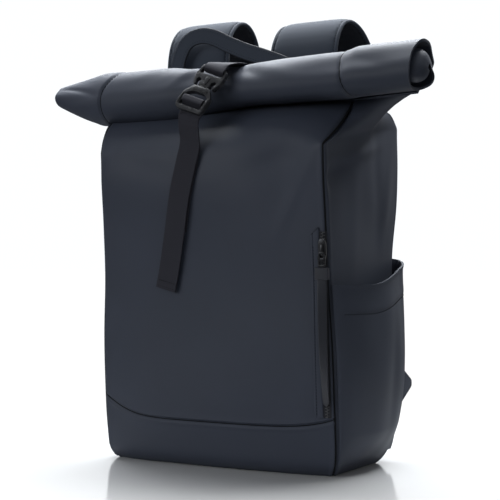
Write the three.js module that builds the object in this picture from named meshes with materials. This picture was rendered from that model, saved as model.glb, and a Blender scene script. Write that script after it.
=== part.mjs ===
// A rolltop backpack: an upright bag of coated cloth whose mouth is rolled forward and down, held by one
// webbing strap with a side-release buckle. Millimetres, +Z up. X is the width (right is +X), the front
// faces -Y and the shoulder straps hang at +Y. The origin is the middle of the base, on the floor.
import * as THREE from 'three';

// Driving sizes of the bag
const BASE_WIDTH = 285;
const BASE_DEPTH = 130;
const FRONT_HEIGHT = 333; // floor to the shoulder of the front wall
const SHOULDER_RISE = 34; // the back wall's shoulder is higher by this much
const BACK_HEIGHT = FRONT_HEIGHT + SHOULDER_RISE;
const WALL = 1.6; // coated cloth with its lining
const SEAM_GAP = 0.5; // between two pieces that are sewn together
const BASE_LIFT = 0.6; // how far the lower edges of the walls stay off the floor
const NECK_SPREAD = 1.5; // how far each corner seam leans out on its way up to the roll
const NECK_SEAM_HALF = BASE_WIDTH / 2 + NECK_SPREAD;

// Rolled mouth
const ROLL_INSET = 15; // its middle lies this far behind the front of the base
const ROLL_CENTRE_Y = ROLL_INSET - BASE_DEPTH / 2;
const ROLL_RISE = 69; // from the front shoulder up to the middle of the roll
const ROLL_CENTRE_Z = FRONT_HEIGHT + ROLL_RISE;
const ROLL_RADIUS = 29; // to the middle of the doubled cloth at its first turn
const ROLL_PITCH = 8; // how much the radius loses in one turn
const ROLL_TURNS = 1.85;
const ROLL_START = THREE.MathUtils.degToRad(-36); // where the neck enters the roll, from +Y towards +Z
const ROLL_TRIANGLE = 0.1; // how much the section tends to a rounded triangle
const ROLL_STRAP_PINCH = 0.15; // share of the radius that the closure strap takes away
const ROLL_END_STEP = 13; // how far the outer front layer ends short of the others
const ROLL_TIP_SCALE = 0.36; // how flat the left end is pressed
const ROLL_TIP_LENGTH = 62;
const MOUTH_LIFT_LEFT = 14; // how far the left end of the mouth is higher than its middle
const MOUTH_LIFT_RIGHT = 6;

// Front band and side pocket
const BAND_MIDDLE = 48; // height of the U-shaped seam in the middle, at the left and at the right
const BAND_LEFT = 73;
const BAND_RIGHT = 59;
const POCKET_BOTTOM = 14;
const POCKET_FRONT_RIM = 200;
const POCKET_REAR_RIM = 226;
const POCKET_BULGE = 20;
const POCKET_REAR_OFFSET = 7; // how far the pocket stands off the rear corner
const POCKET_BACK_LAP = 14; // how far it laps round the corner onto the back wall
const POCKET_WALL = 1.6;

// Zip beside the front right seam
const ZIP_INSET = 8; // from the side of the base to the middle of the teeth
const ZIP_X = BASE_WIDTH / 2 - ZIP_INSET;
const ZIP_TOP = 250;
const ZIP_TAPE_WIDTH = 8;
const ZIP_TAPE_THICK = 0.8;
const ZIP_TEETH_WIDTH = 4;
const ZIP_TEETH_HEIGHT = 1.4;
const WELT_WIDTH = 9;
const WELT_THICK = 1.6;
const SLIDER_LENGTH = 22;
const SLIDER_WIDTH = 8;
const SLIDER_HEIGHT = 5;
const PULLER_LENGTH = 15;
const PULLER_WIDTH = 8;
const PULLER_THICK = 2;
const PULL_STRAP_LENGTH = 138;
const PULL_STRAP_WIDTH = 10;
const PULL_STRAP_THICK = 1.8;
const PULL_COLLAR_LENGTH = 12;
const PULL_COLLAR_WIDTH = 15;
const PULL_COLLAR_THICK = 4;

// Webbing and buckle
const WEBBING_WIDTH = 25;
const WEBBING_THICK = 1.5;
const LAYER_GAP = 0.4; // between cloth or webbing layers that lie on each other
const STRAP_LEAN = 0.2; // the closure strap leans to the right by this share of its height
const STRAP_X = -12; // its middle at STRAP_X_HEIGHT
const STRAP_X_HEIGHT = ROLL_CENTRE_Z - ROLL_RADIUS;
const STRAP_ANCHOR_DROP = 83; // from the front shoulder down to where it is sewn on
const STRAP_END_DROP = 146; // from the front shoulder down to its free end
const STRAP_BACK_REACH = 40; // how far it runs down behind the roll
const BUCKLE_TILT = THREE.MathUtils.degToRad(30); // how far its top leans back
const BUCKLE_DROP = 18; // how far its middle lies down the face of the roll
const BUCKLE_LENGTH = 62;
const BUCKLE_WIDTH = 36;
const BUCKLE_THICK = 5;
const BUCKLE_RIM = 4.5;
const BUCKLE_SLOT = 7.5;
const BUCKLE_JOIN = 3; // height of the line where the two halves meet, above the middle
const BUCKLE_WAIST = 14;

// Carry handle
const HANDLE_WIDTH = 18;
const HANDLE_THICK = 3;
const HANDLE_BEHIND = 40; // how far it stands behind the middle of the roll
const HANDLE_Y = ROLL_CENTRE_Y + HANDLE_BEHIND;
const HANDLE_LEFT = -86; // where its two ends are sewn on
const HANDLE_RIGHT = 72;
const HANDLE_RISE = 70; // highest above the middle of the roll

// Shoulder straps
const STRAP_ROOT_WIDTH = 82;
const STRAP_FOOT_WIDTH = 62;
const STRAP_PAD = 12;
const STRAP_EDGE = 5;
const STRAP_ROOT_X = 67;
const STRAP_FOOT_X = 98;
const STRAP_ROOT_Y = 12;
const STRAP_CREST = 82; // highest above the middle of the roll
const STRAP_TOP = ROLL_CENTRE_Z + STRAP_CREST;
const STRAP_FOOT_HEIGHT = 140;
const STRAP_HANG = 122; // how far behind the origin the middle of the strap hangs
const LOCK_LENGTH = 26;
const LOCK_WIDTH = 34;
const LOCK_THICK = 5;
const TAB_LOW = 53;
const TAB_HIGH = 108;
const TAB_REACH = 48;
const TAB_THICK = 2.4;
const TAB_LAP = 8; // how far the webbing laps over the tab

// How fine the surfaces are
const PANEL_COLUMNS = 12;
const SIDE_COLUMNS = 6; // on each half of a side wall
const ROLL_COLUMNS = 38;
const WEBBING_STEPS = 14;

// Body sections from the floor to the shoulder. up: share of the shoulder height. half: share of half the
// base width. front, back: shares of half the base depth. The shares of the bulge sizes follow.
const BODY_SECTIONS = [
  { up: 0.0, half: 0.935, front: 0.86, back: 0.74, bulge: 0.9 },
  { up: 0.012, half: 0.962, front: 0.925, back: 0.83, bulge: 1.0 },
  { up: 0.035, half: 0.99, front: 0.985, back: 0.95, bulge: 1.0 },
  { up: 0.08, half: 1.0, front: 1.01, back: 1.05, bulge: 1.0 },
  { up: 0.18, half: 1.004, front: 1.06, back: 1.1, bulge: 0.9 },
  { up: 0.4, half: 0.998, front: 1.13, back: 1.13, bulge: 0.6 },
  { up: 0.6, half: 0.975, front: 1.18, back: 1.21, bulge: 0.6 },
  { up: 0.76, half: 0.972, front: 1.235, back: 1.42, bulge: 0.8 },
  { up: 0.9, half: 0.968, front: 1.3, back: 1.5, bulge: 1.0 },
  { up: 1.0, half: 0.963, front: 1.32, back: 1.55, bulge: 0.8 },
];
const FRONT_BULGE = 10;
const BACK_BULGE = 6;
const SIDE_BULGE = 4;
const RIDGE_BACK = 9; // the tip of the gusset ridge lies this far behind the middle of the side
const RIDGE_RISE = 3;
const RIDGE_OUT = 3;
const FOLD_ARC = 5; // rise of the gusset's centre fold over its chord
const FOLD_NOSE = 1.2; // thickness of that fold

// Broad dents. face: the wall. across: -1 to 1 on the wall. up: share of the shoulder height. wide, high:
// half sizes as shares of the wall's width and height. depth: share of DENT_DEPTH, below 0 for a swelling.
const DENT_DEPTH = 6;
const DENTS = [
  { face: 'front', across: 0.72, up: 0.93, wide: 0.13, high: 0.14, depth: 1.0 },
  { face: 'front', across: -0.95, up: 0.93, wide: 0.12, high: 0.1, depth: -0.8 },
  { face: 'front', across: -0.3, up: 0.55, wide: 0.3, high: 0.2, depth: 0.35 },
  { face: 'front', across: -0.9, up: 0.16, wide: 0.08, high: 0.05, depth: 0.5 },
  { face: 'right', across: -0.35, up: 0.8, wide: 0.25, high: 0.12, depth: 0.5 },
  { face: 'right', across: 0.35, up: 0.7, wide: 0.2, high: 0.08, depth: 0.4 },
  { face: 'left', across: 0.2, up: 0.6, wide: 0.4, high: 0.2, depth: 0.6 },
  { face: 'back', across: 0.0, up: 0.6, wide: 0.5, high: 0.25, depth: 0.5 },
];

const smooth = (low, high, value) => THREE.MathUtils.smoothstep(value, low, high);
const mix = THREE.MathUtils.lerp;
const vec = (x, y, z) => new THREE.Vector3(x, y, z);

// A column of a table at a height, by a smooth curve through its rows.
function lookUp(table, column, up) {
  let row = 0;
  while (row < table.length - 2 && up > table[row + 1].up) row += 1;
  const low = table[row];
  const high = table[row + 1];
  const before = table[Math.max(row - 1, 0)];
  const after = table[Math.min(row + 2, table.length - 1)];
  const span = high.up - low.up;
  const share = THREE.MathUtils.clamp((up - low.up) / span, 0, 1);
  const slopeLow = (high[column] - before[column]) / Math.max(high.up - before.up, span);
  const slopeHigh = (after[column] - low[column]) / Math.max(after.up - low.up, span);
  const cube = share ** 3;
  const square = share ** 2;
  return low[column] * (2 * cube - 3 * square + 1)
    + span * slopeLow * (cube - 2 * square + share)
    + high[column] * (3 * square - 2 * cube)
    + span * slopeHigh * (cube - square);
}

// A quadratic curve between two points, given as [y, z] pairs.
function bend(start, control, end, share) {
  const rest = 1 - share;
  return [0, 1].map((axis) => rest * rest * start[axis]
    + 2 * rest * share * control[axis]
    + share * share * end[axis]);
}

// The roll's section, as a radius factor at an angle from +Y towards +Z.
const rollShape = (angle) => 1 + ROLL_TRIANGLE * Math.cos(3 * (angle - Math.PI / 2));

// Half the width of the flattened mouth: half a front wall and half a side wall lie side by side.
const SHOULDER_HALF = lookUp(BODY_SECTIONS, 'half', 1) * BASE_WIDTH / 2;
const SHOULDER_FRONT = -lookUp(BODY_SECTIONS, 'front', 1) * BASE_DEPTH / 2;
const SHOULDER_BACK = lookUp(BODY_SECTIONS, 'back', 1) * BASE_DEPTH / 2;
const MOUTH_HALF = SHOULDER_HALF + (SHOULDER_BACK - SHOULDER_FRONT) / 2;
const START_RADIUS = ROLL_RADIUS * rollShape(ROLL_START);
const NECK_Y = ROLL_CENTRE_Y + START_RADIUS * Math.cos(ROLL_START);
const NECK_Z = ROLL_CENTRE_Z + START_RADIUS * Math.sin(ROLL_START);
const NECK_SLOT = WALL + LAYER_GAP / 2; // half the distance between the outer faces at the top of the neck

// How much the mouth is lifted towards its two ends.
function mouthLift(x) {
  const share = THREE.MathUtils.clamp((Math.abs(x) - NECK_SEAM_HALF) / (MOUTH_HALF - NECK_SEAM_HALF), 0, 1);
  return share * (x < 0 ? MOUTH_LIFT_LEFT : MOUTH_LIFT_RIGHT);
}

// A corner seam of the bag. side: -1 left, 1 right. face: 'front' or 'back'. height: 0 floor, 1 shoulder,
// 2 roll.
function seamPoint(side, face, height) {
  const rear = face === 'back';
  const up = Math.min(height, 1);
  const half = lookUp(BODY_SECTIONS, 'half', up) * BASE_WIDTH / 2;
  const reach = lookUp(BODY_SECTIONS, face, up) * BASE_DEPTH / 2 * (rear ? 1 : -1);
  const tall = rear ? BACK_HEIGHT : FRONT_HEIGHT;
  if (height <= 1) return vec(side * half, reach, BASE_LIFT + up * (tall - BASE_LIFT));
  const share = height - 1;
  const end = [NECK_Y + (rear ? NECK_SLOT : -NECK_SLOT), NECK_Z];
  const control = rear
    ? [mix(reach, end[0], 0.95), mix(BACK_HEIGHT, NECK_Z, 0.25)]
    : [mix(reach, end[0], 0.82), mix(FRONT_HEIGHT, NECK_Z, 0.28)];
  const [y, z] = bend([reach, tall], control, end, share);
  return vec(side * mix(half, NECK_SEAM_HALF, share), y, z);
}

// The tip of the ridge of a gusset, and the centre fold that runs from it to the end of the mouth.
function foldPoint(side, share) {
  const front = seamPoint(side, 'front', 1);
  const back = seamPoint(side, 'back', 1);
  const tip = front.clone().lerp(back, 0.5).add(vec(side * RIDGE_OUT, RIDGE_BACK, RIDGE_RISE));
  const end = vec(side * MOUTH_HALF, NECK_Y, NECK_Z + mouthLift(side * MOUTH_HALF));
  return tip.lerp(end, share).add(vec(0, 0, FOLD_ARC * 4 * share * (1 - share)));
}

// How deep the broad dents of a wall are at a place on it.
function dentDepth(face, across, height) {
  let depth = 0;
  for (const dent of DENTS) {
    if (dent.face !== face) continue;
    const sideways = (across - dent.across) / dent.wide / 2;
    const upward = (height - dent.up) / dent.high;
    depth += DENT_DEPTH * dent.depth * Math.exp(-(sideways ** 2 + upward ** 2));
  }
  return depth * (1 - across ** 4) * (1 - smooth(1, 1.6, height));
}

// The outer face of a front or back wall. across runs from -1 to 1 anticlockwise, seen from above.
function flatWall(face, across, height) {
  const turn = face === 'front' ? 1 : -1;
  const start = seamPoint(-turn, face, height);
  const end = seamPoint(turn, face, height);
  const point = start.lerp(end, (across + 1) / 2);
  const bulge = face === 'front' ? FRONT_BULGE : BACK_BULGE;
  const fade = 1 - smooth(1, 1.9, height);
  const full = bulge * lookUp(BODY_SECTIONS, 'bulge', Math.min(height, 1)) * fade;
  const swell = full * (1 - Math.abs(across) ** 3);
  point.y -= turn * (swell - dentDepth(face, across, height));
  if (height > 1) point.z += mouthLift(point.x) * (height - 1);
  return point;
}

// The outer face of a side wall, folded outwards above the shoulder.
function sideWall(side, across, height) {
  const forward = across * side;
  const rear = forward > 0;
  const inward = 1 - Math.abs(across);
  const seam = seamPoint(side, rear ? 'back' : 'front', height);
  if (height > 1) {
    return seam.lerp(foldPoint(side, height - 1), inward);
  }
  const front = seamPoint(side, 'front', height);
  const back = seamPoint(side, 'back', height);
  const point = front.lerp(back, (forward + 1) / 2);
  const straight = seamPoint(side, 'front', 1).lerp(seamPoint(side, 'back', 1), 0.5);
  const ridge = foldPoint(side, 0).sub(straight);
  const nearRidge = smooth(0.86, 1, height);
  point.add(ridge.multiplyScalar(inward * nearRidge));
  const swell = SIDE_BULGE * (1 - across ** 2) * (1 - nearRidge) * smooth(0, 0.1, height);
  const face = side > 0 ? 'right' : 'left';
  point.x += side * (swell - dentDepth(face, across, height) * (1 - nearRidge));
  return point;
}

function wallPoint(face, across, height) {
  if (face === 'front' || face === 'back') return flatWall(face, across, height);
  return sideWall(face === 'right' ? 1 : -1, across, height);
}

// The outward normal of a wall, from two short steps along it.
function wallNormal(face, across, height) {
  if (Math.abs(height - 1) < 1e-6) {
    return wallNormal(face, across, 0.999).add(wallNormal(face, across, 1.001)).normalize();
  }
  const step = 0.01;
  const half = across < 0 ? [-1, -step / 4] : [step / 4, 1];
  const sides = face === 'front' || face === 'back' ? [-1, 1] : half;
  const a0 = Math.max(across - step, sides[0]);
  const a1 = Math.min(across + step, sides[1]);
  const h0 = Math.max(height - step / 2, height > 1 ? 1.0001 : 0);
  const h1 = Math.min(height + step / 2, height > 1 ? 2 : 1);
  const along = wallPoint(face, a1, height).sub(wallPoint(face, a0, height));
  const upward = wallPoint(face, across, h1).sub(wallPoint(face, across, h0));
  return along.cross(upward).normalize();
}

// The offset that keeps a wall's thickness on both sides of a corner between two normals.
function cornerOffset(first, second, thick, limit) {
  const offset = first.clone().add(second);
  const scale = Math.min(thick / Math.max(1 + first.dot(second), 1e-6), limit);
  return offset.multiplyScalar(-scale);
}

const NEXT_FACE = { front: 'right', right: 'back', back: 'left', left: 'front' };
const FACE_BEFORE = { right: 'front', back: 'right', left: 'back', front: 'left' };

// The inner face of a wall, mitred at the corner seams and at the gusset's fold.
function innerPoint(face, across, height) {
  const outer = wallPoint(face, across, height);
  const normal = wallNormal(face, across, height);
  const edge = Math.abs(across) > 0.999;
  if (edge) {
    const neighbour = across > 0 ? NEXT_FACE[face] : FACE_BEFORE[face];
    const other = wallNormal(neighbour, -Math.sign(across), height);
    return outer.add(cornerOffset(normal, other, WALL, WALL * 3));
  }
  const folded = face !== 'front' && face !== 'back' && height > 1;
  if (!folded) return outer.addScaledVector(normal, -WALL);
  const seam = innerPoint(face, Math.sign(across), height);
  const fold = wallPoint(face, Math.sign(across) * 1e-4, height);
  const before = wallNormal(face, -1e-3, height);
  const after = wallNormal(face, 1e-3, height);
  fold.add(cornerOffset(before, after, WALL, WALL * 24));
  return seam.lerp(fold, 1 - Math.abs(across));
}

// A closed thin solid between two grids of points. Columns cross rows so that the outer grid faces
// outwards.
function sheetSolid(outer, inner) {
  const rows = outer.length;
  const columns = outer[0].length;
  const positions = [];
  const index = [];
  for (const grid of [outer, inner]) {
    for (const row of grid) {
      for (const point of row) positions.push(point.x, point.y, point.z);
    }
  }
  const at = (layer, row, column) => (layer * rows + row) * columns + column;
  const quad = (a, b, c, d) => index.push(a, b, c, a, c, d);
  const lastRow = rows - 1;
  const lastColumn = columns - 1;
  for (let row = 0; row < lastRow; row += 1) {
    for (let column = 0; column < lastColumn; column += 1) {
      const next = column + 1;
      quad(at(0, row, column), at(0, row, next), at(0, row + 1, next), at(0, row + 1, column));
      quad(at(1, row, column), at(1, row + 1, column), at(1, row + 1, next), at(1, row, next));
    }
    const end = lastColumn;
    quad(at(0, row, 0), at(0, row + 1, 0), at(1, row + 1, 0), at(1, row, 0));
    quad(at(0, row, end), at(1, row, end), at(1, row + 1, end), at(0, row + 1, end));
  }
  for (let column = 0; column < lastColumn; column += 1) {
    const next = column + 1;
    quad(at(1, 0, column), at(1, 0, next), at(0, 0, next), at(0, 0, column));
    quad(at(0, lastRow, column), at(0, lastRow, next), at(1, lastRow, next), at(1, lastRow, column));
  }
  const geometry = new THREE.BufferGeometry();
  geometry.setAttribute('position', new THREE.Float32BufferAttribute(positions, 3));
  geometry.setIndex(index);
  geometry.computeVertexNormals();
  return geometry;
}

// A closed solid through rings of points, with flat ends. Each ring turns from its u axis to its v axis,
// and the rings follow each other along u cross v.
function ringSolid(rings) {
  const count = rings[0].length;
  const positions = rings.flat().flatMap((point) => [point.x, point.y, point.z]);
  const index = [];
  for (let ring = 0; ring < rings.length - 1; ring += 1) {
    for (let side = 0; side < count; side += 1) {
      const a = ring * count + side;
      const b = ring * count + (side + 1) % count;
      index.push(a, b, b + count, a, b + count, a + count);
    }
  }
  const last = (rings.length - 1) * count;
  for (let side = 1; side < count - 1; side += 1) {
    index.push(0, side + 1, side);
    index.push(last, last + side, last + side + 1);
  }
  const geometry = new THREE.BufferGeometry();
  geometry.setAttribute('position', new THREE.Float32BufferAttribute(positions, 3));
  geometry.setIndex(index);
  geometry.computeVertexNormals();
  return geometry;
}

// A band along a row of points. across(i, tangent) gives its width direction; size(share) its width,
// thickness and edge thickness.
function band(points, across, size) {
  const last = points.length - 1;
  const rings = points.map((point, i) => {
    const before = points[Math.max(i - 1, 0)];
    const tangent = points[Math.min(i + 1, last)].clone().sub(before).normalize();
    const wide = across(i, tangent);
    wide.addScaledVector(tangent, -wide.dot(tangent)).normalize();
    const normal = tangent.clone().cross(wide);
    const { width, thick, edge } = size(i / last);
    const section = edge === undefined
      ? [[1, -thick], [1, thick], [-1, thick], [-1, -thick]]
      : [[1, -edge], [1, edge], [0.72, thick], [-0.72, thick], [-1, edge], [-1, -edge], [-0.72, -thick],
        [0.72, -thick]];
    return section.map(([w, n]) => point.clone()
      .addScaledVector(wide, w * width / 2)
      .addScaledVector(normal, n / 2));
  });
  return ringSolid(rings);
}

// Points on a smooth curve through some points, as many between each two of them.
function smoothPath(points, steps) {
  return new THREE.CatmullRomCurve3(points, false, 'centripetal').getPoints((points.length - 1) * steps);
}

// Moves the outermost rows and columns of a grid inwards by half the seam gap, and a little more on the
// inside.
function trimEdges(grid, sides, extra) {
  const pull = (point, next) => {
    const gap = point.distanceTo(next);
    point.lerp(next, Math.min((SEAM_GAP / 2 + extra) / gap, 0.4));
  };
  const rows = grid.length;
  const columns = grid[0].length;
  for (let row = 0; row < rows; row += 1) {
    if (sides.includes('start')) pull(grid[row][0], grid[row][1]);
    if (sides.includes('end')) pull(grid[row][columns - 1], grid[row][columns - 2]);
  }
  for (let column = 0; column < columns; column += 1) {
    if (sides.includes('bottom')) pull(grid[0][column], grid[1][column]);
    if (sides.includes('top')) pull(grid[rows - 1][column], grid[rows - 2][column]);
  }
  return grid;
}

const bodyHeights = BODY_SECTIONS.map((row) => row.up);
const neckHeights = [1.025, 1.08, 1.18, 1.34, 1.5, 1.67, 1.84, 2];

// Height of the seam above the front band, as a share of the shoulder height.
function bandSeam(across) {
  const edge = across < 0 ? BAND_LEFT : BAND_RIGHT;
  return mix(BAND_MIDDLE, edge, Math.abs(across) ** 5) / FRONT_HEIGHT;
}

// Rows of heights between two limits, which may change across the wall.
function spread(list, low, high) {
  const first = list[0];
  const span = list[list.length - 1] - first;
  return list.map((value) => mix(low, high, (value - first) / span));
}

function wallGeometry(face, columns, heights, sides) {
  const build = (pointAt, extra) => {
    const rowCount = heights(0).length;
    const rowAt = (row) => columns.map((across) => pointAt(face, across, heights(across)[row]));
    const grid = Array.from({ length: rowCount }, (_, row) => rowAt(row));
    return trimEdges(grid, sides, extra);
  };
  return sheetSolid(build(wallPoint, SEAM_GAP / 4), build(innerPoint, SEAM_GAP * 2));
}

const evenColumns = Array.from({ length: PANEL_COLUMNS + 1 }, (_, i) => -1 + 2 * i / PANEL_COLUMNS);
const halfColumns = Array.from({ length: SIDE_COLUMNS }, (_, i) => -1 + i / SIDE_COLUMNS);
const foldShare = FOLD_NOSE / (SHOULDER_BACK - SHOULDER_FRONT);
const otherHalf = halfColumns.map((across) => -across).reverse();
const sideColumns = [...halfColumns, -foldShare, foldShare, ...otherHalf];
const wallHeights = [...bodyHeights, ...neckHeights];
const bandRows = [0, 0.012, 0.035, 0.08, 0.13, 0.17];
const frontRows = [0.17, 0.28, 0.4, 0.5, 0.6, 0.7, 0.78, 0.86, 0.92, 0.97, 1.0];

// Colours of the coated cloth, the webbing, the black plastic and the painted metal
const CLOTH = { color: 0x30353f, roughness: 0.55, metalness: 0 };
const WEBBING = { color: 0x24262d, roughness: 0.85, metalness: 0 };
const PLASTIC = { color: 0x17191d, roughness: 0.4, metalness: 0 };
const METAL = { color: 0x1b1c20, roughness: 0.35, metalness: 0.6 };

const bag = new THREE.Group();

function addPiece(name, geometry, finish, parent = bag) {
  const mesh = new THREE.Mesh(geometry, new THREE.MeshStandardMaterial(finish));
  mesh.name = name;
  parent.add(mesh);
  return mesh;
}

// Walls of the bag
addPiece('front_panel', wallGeometry('front', evenColumns, (across) => [
  ...spread(frontRows, bandSeam(across), 1),
  ...neckHeights,
], ['start', 'end', 'bottom', 'top']), CLOTH);
addPiece('front_band', wallGeometry(
  'front',
  evenColumns,
  (across) => spread(bandRows, 0, bandSeam(across)),
  ['start', 'end', 'top'],
), CLOTH);
const wallSides = ['start', 'end', 'top'];
addPiece('back_panel', wallGeometry('back', evenColumns, () => wallHeights, wallSides), CLOTH);
for (const face of ['right', 'left']) {
  const geometry = wallGeometry(face, sideColumns, () => wallHeights, wallSides);
  addPiece(`side_panel_${face}`, geometry, CLOTH);
}

// Flat base, inside the lower edges of the walls
function baseGeometry() {
  const rim = [];
  const along = evenColumns.slice(0, -1);
  const places = { front: along, right: [-1], back: along, left: [-1] };
  for (const [face, columns] of Object.entries(places)) {
    for (const across of columns) rim.push(wallPoint(face, across, 0));
  }
  const inset = WALL + SEAM_GAP;
  const outline = rim.map((point) => new THREE.Vector2(
    point.x - Math.sign(point.x) * Math.min(inset, Math.abs(point.x)),
    point.y - Math.sign(point.y) * Math.min(inset, Math.abs(point.y)),
  ));
  return new THREE.ExtrudeGeometry(new THREE.Shape(outline), { depth: WALL, bevelEnabled: false });
}
addPiece('base_panel', baseGeometry(), CLOTH);

// The rolled mouth: both walls pressed together, wound forward and down
const ROLL_SHEET = 2 * WALL;
const rollEnd = ROLL_START + ROLL_TURNS * 2 * Math.PI;
const PINCH_X = STRAP_X + ROLL_RADIUS * STRAP_LEAN;
const PINCH_FLAT = WEBBING_WIDTH / 2 + ROLL_RADIUS * STRAP_LEAN;
const PINCH_SLOPE = WEBBING_WIDTH;

// A point of the doubled cloth. offset is measured outwards from the middle of the sheet.
function rollPoint(x, angle, offset) {
  const turned = (angle - ROLL_START) / (2 * Math.PI);
  const settled = smooth(0, 0.16, turned);
  const aside = smooth(PINCH_FLAT, PINCH_FLAT + PINCH_SLOPE, Math.abs(x - PINCH_X));
  const pinch = 1 - ROLL_STRAP_PINCH * settled * (1 - aside);
  const radius = (ROLL_RADIUS - ROLL_PITCH * turned) * rollShape(angle) * pinch + offset;
  const y = ROLL_CENTRE_Y + radius * Math.cos(angle);
  const z = ROLL_CENTRE_Z + radius * Math.sin(angle);
  const flat = mix(1, ROLL_TIP_SCALE, smooth(MOUTH_HALF - ROLL_TIP_LENGTH, MOUTH_HALF, -x));
  const lift = mouthLift(x) + SEAM_GAP + ROLL_SHEET / 2 * Math.abs(Math.sin(ROLL_START));
  return vec(x, NECK_Y + (y - NECK_Y) * mix(1, flat, 0.4), NECK_Z + (z - NECK_Z) * flat + lift);
}

// How far a layer of the roll ends short of the mouth's full width.
function rollEndStep(angle) {
  const turned = (angle - ROLL_START) / (2 * Math.PI);
  return ROLL_END_STEP * smooth(0.3, 0.55, turned) * (1 - smooth(0.75, 1.0, turned));
}

const pinchRight = [PINCH_FLAT, PINCH_FLAT + PINCH_SLOPE / 2, PINCH_FLAT + PINCH_SLOPE];
const pinchLeft = pinchRight.map((x) => -x).reverse();
const pinchStations = [...pinchLeft, ...pinchRight].map((x) => (PINCH_X + x) / MOUTH_HALF);
const ROLL_STATIONS = [-1, -0.94, -0.86, -0.76, -0.6, -0.4, ...pinchStations, 0.4, 0.6, 0.8, 0.92, 1];

function rollGeometry() {
  const angleAt = (i) => mix(ROLL_START, rollEnd, i / ROLL_COLUMNS);
  const angles = Array.from({ length: ROLL_COLUMNS + 1 }, (_, i) => angleAt(i));
  const placeAt = (station, angle) => station * (MOUTH_HALF - rollEndStep(angle));
  const rowAt = (station, offset) => angles.map((angle) => rollPoint(
    placeAt(station, angle),
    angle,
    offset,
  ));
  const build = (offset) => ROLL_STATIONS.map((station) => rowAt(station, offset));
  return sheetSolid(build(ROLL_SHEET / 2), build(-ROLL_SHEET / 2));
}
addPiece('rolled_mouth', rollGeometry(), CLOTH);

// Side pocket: a cloth skin from the front right seam, round the rear corner, to the back wall
function pocketSpan(share, height, thick) {
  const along = Math.min(share / 0.86, 1);
  const across = mix(-1, 1, along);
  const rim = mix(POCKET_FRONT_RIM, POCKET_REAR_RIM, smooth(0.25, 1, share));
  const z = mix(POCKET_BOTTOM, rim, height);
  const back = seamPoint(1, 'back', z / BACK_HEIGHT);
  const base = sideWall(1, across, mix(z / FRONT_HEIGHT, z / BACK_HEIGHT, along));
  const full = Math.sin(Math.PI * Math.min(along, 1)) ** 0.8 * POCKET_BULGE * mix(0.75, 1, height)
    + POCKET_REAR_OFFSET * smooth(0.5, 1, along);
  const closeUp = smooth(-0.02, 0.16, height);
  const gap = LAYER_GAP + SEAM_GAP * smooth(0.9, 1, share) + thick;
  const offset = gap + full * closeUp;
  if (share <= 0.86) {
    const shift = 1.2 * (1 - along);
    return vec(base.x + offset, mix(base.y + shift, base.y, along), z);
  }
  const turn = (share - 0.86) / 0.14;
  const reach = mix(0, POCKET_BACK_LAP, smooth(0.45, 1, turn));
  const angle = Math.min(turn / 0.5, 1) * Math.PI / 2;
  const lap = flatWall('back', reach / back.x - 1, z / BACK_HEIGHT);
  const radius = gap + POCKET_REAR_OFFSET * closeUp;
  const side = Math.cos(angle) * radius;
  const rear = Math.sin(angle) * mix(radius, gap, smooth(0.5, 1, turn));
  return vec(back.x + side - reach, lap.y + rear, z);
}

function pocketGeometry() {
  const shares = [0, 0.02, 0.08, 0.18, 0.3, 0.43, 0.56, 0.68, 0.78, 0.86, 0.9, 0.93, 0.965, 1];
  const heights = [0, 0.06, 0.16, 0.35, 0.55, 0.75, 0.9, 1];
  const rowAt = (height, thick) => shares.map((share) => pocketSpan(share, height, thick));
  const build = (thick) => heights.map((height) => rowAt(height, thick));
  return sheetSolid(build(POCKET_WALL), build(0));
}
addPiece('side_pocket', pocketGeometry(), CLOTH);

// A point on the front wall, a little in front of it
function onFront(x, z, offset) {
  const height = z / FRONT_HEIGHT;
  const half = seamPoint(1, 'front', height).x;
  const across = THREE.MathUtils.clamp(x / half, -1, 1);
  const point = flatWall('front', across, height);
  const inward = THREE.MathUtils.clamp(across, -0.98, 0.98);
  return point.addScaledVector(wallNormal('front', inward, height), offset);
}

// A point on the sloping top of the back wall, a little outside it
function onBackNeck(x, y, offset) {
  const half = NECK_SEAM_HALF;
  let low = 1;
  let high = 2;
  for (let step = 0; step < 24; step += 1) {
    const middle = (low + high) / 2;
    if (flatWall('back', -x / half, middle).y > y) low = middle;
    else high = middle;
  }
  const point = flatWall('back', -x / half, low);
  return point.addScaledVector(wallNormal('back', -x / half, low), offset);
}

// A strip that lies on the front wall between two heights
function frontStrip(xs, low, high, rows, lift, thick) {
  const topOf = (column) => (Array.isArray(high) ? high[column] : high);
  const rowAt = (share, raise) => xs.map((x, column) => onFront(
    x,
    mix(low, topOf(column), share),
    raise(column),
  ));
  const build = (raise) => Array.from({ length: rows + 1 }, (_, row) => rowAt(row / rows, raise));
  return sheetSolid(build((column) => lift + thick(column)), build(() => lift));
}

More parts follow.
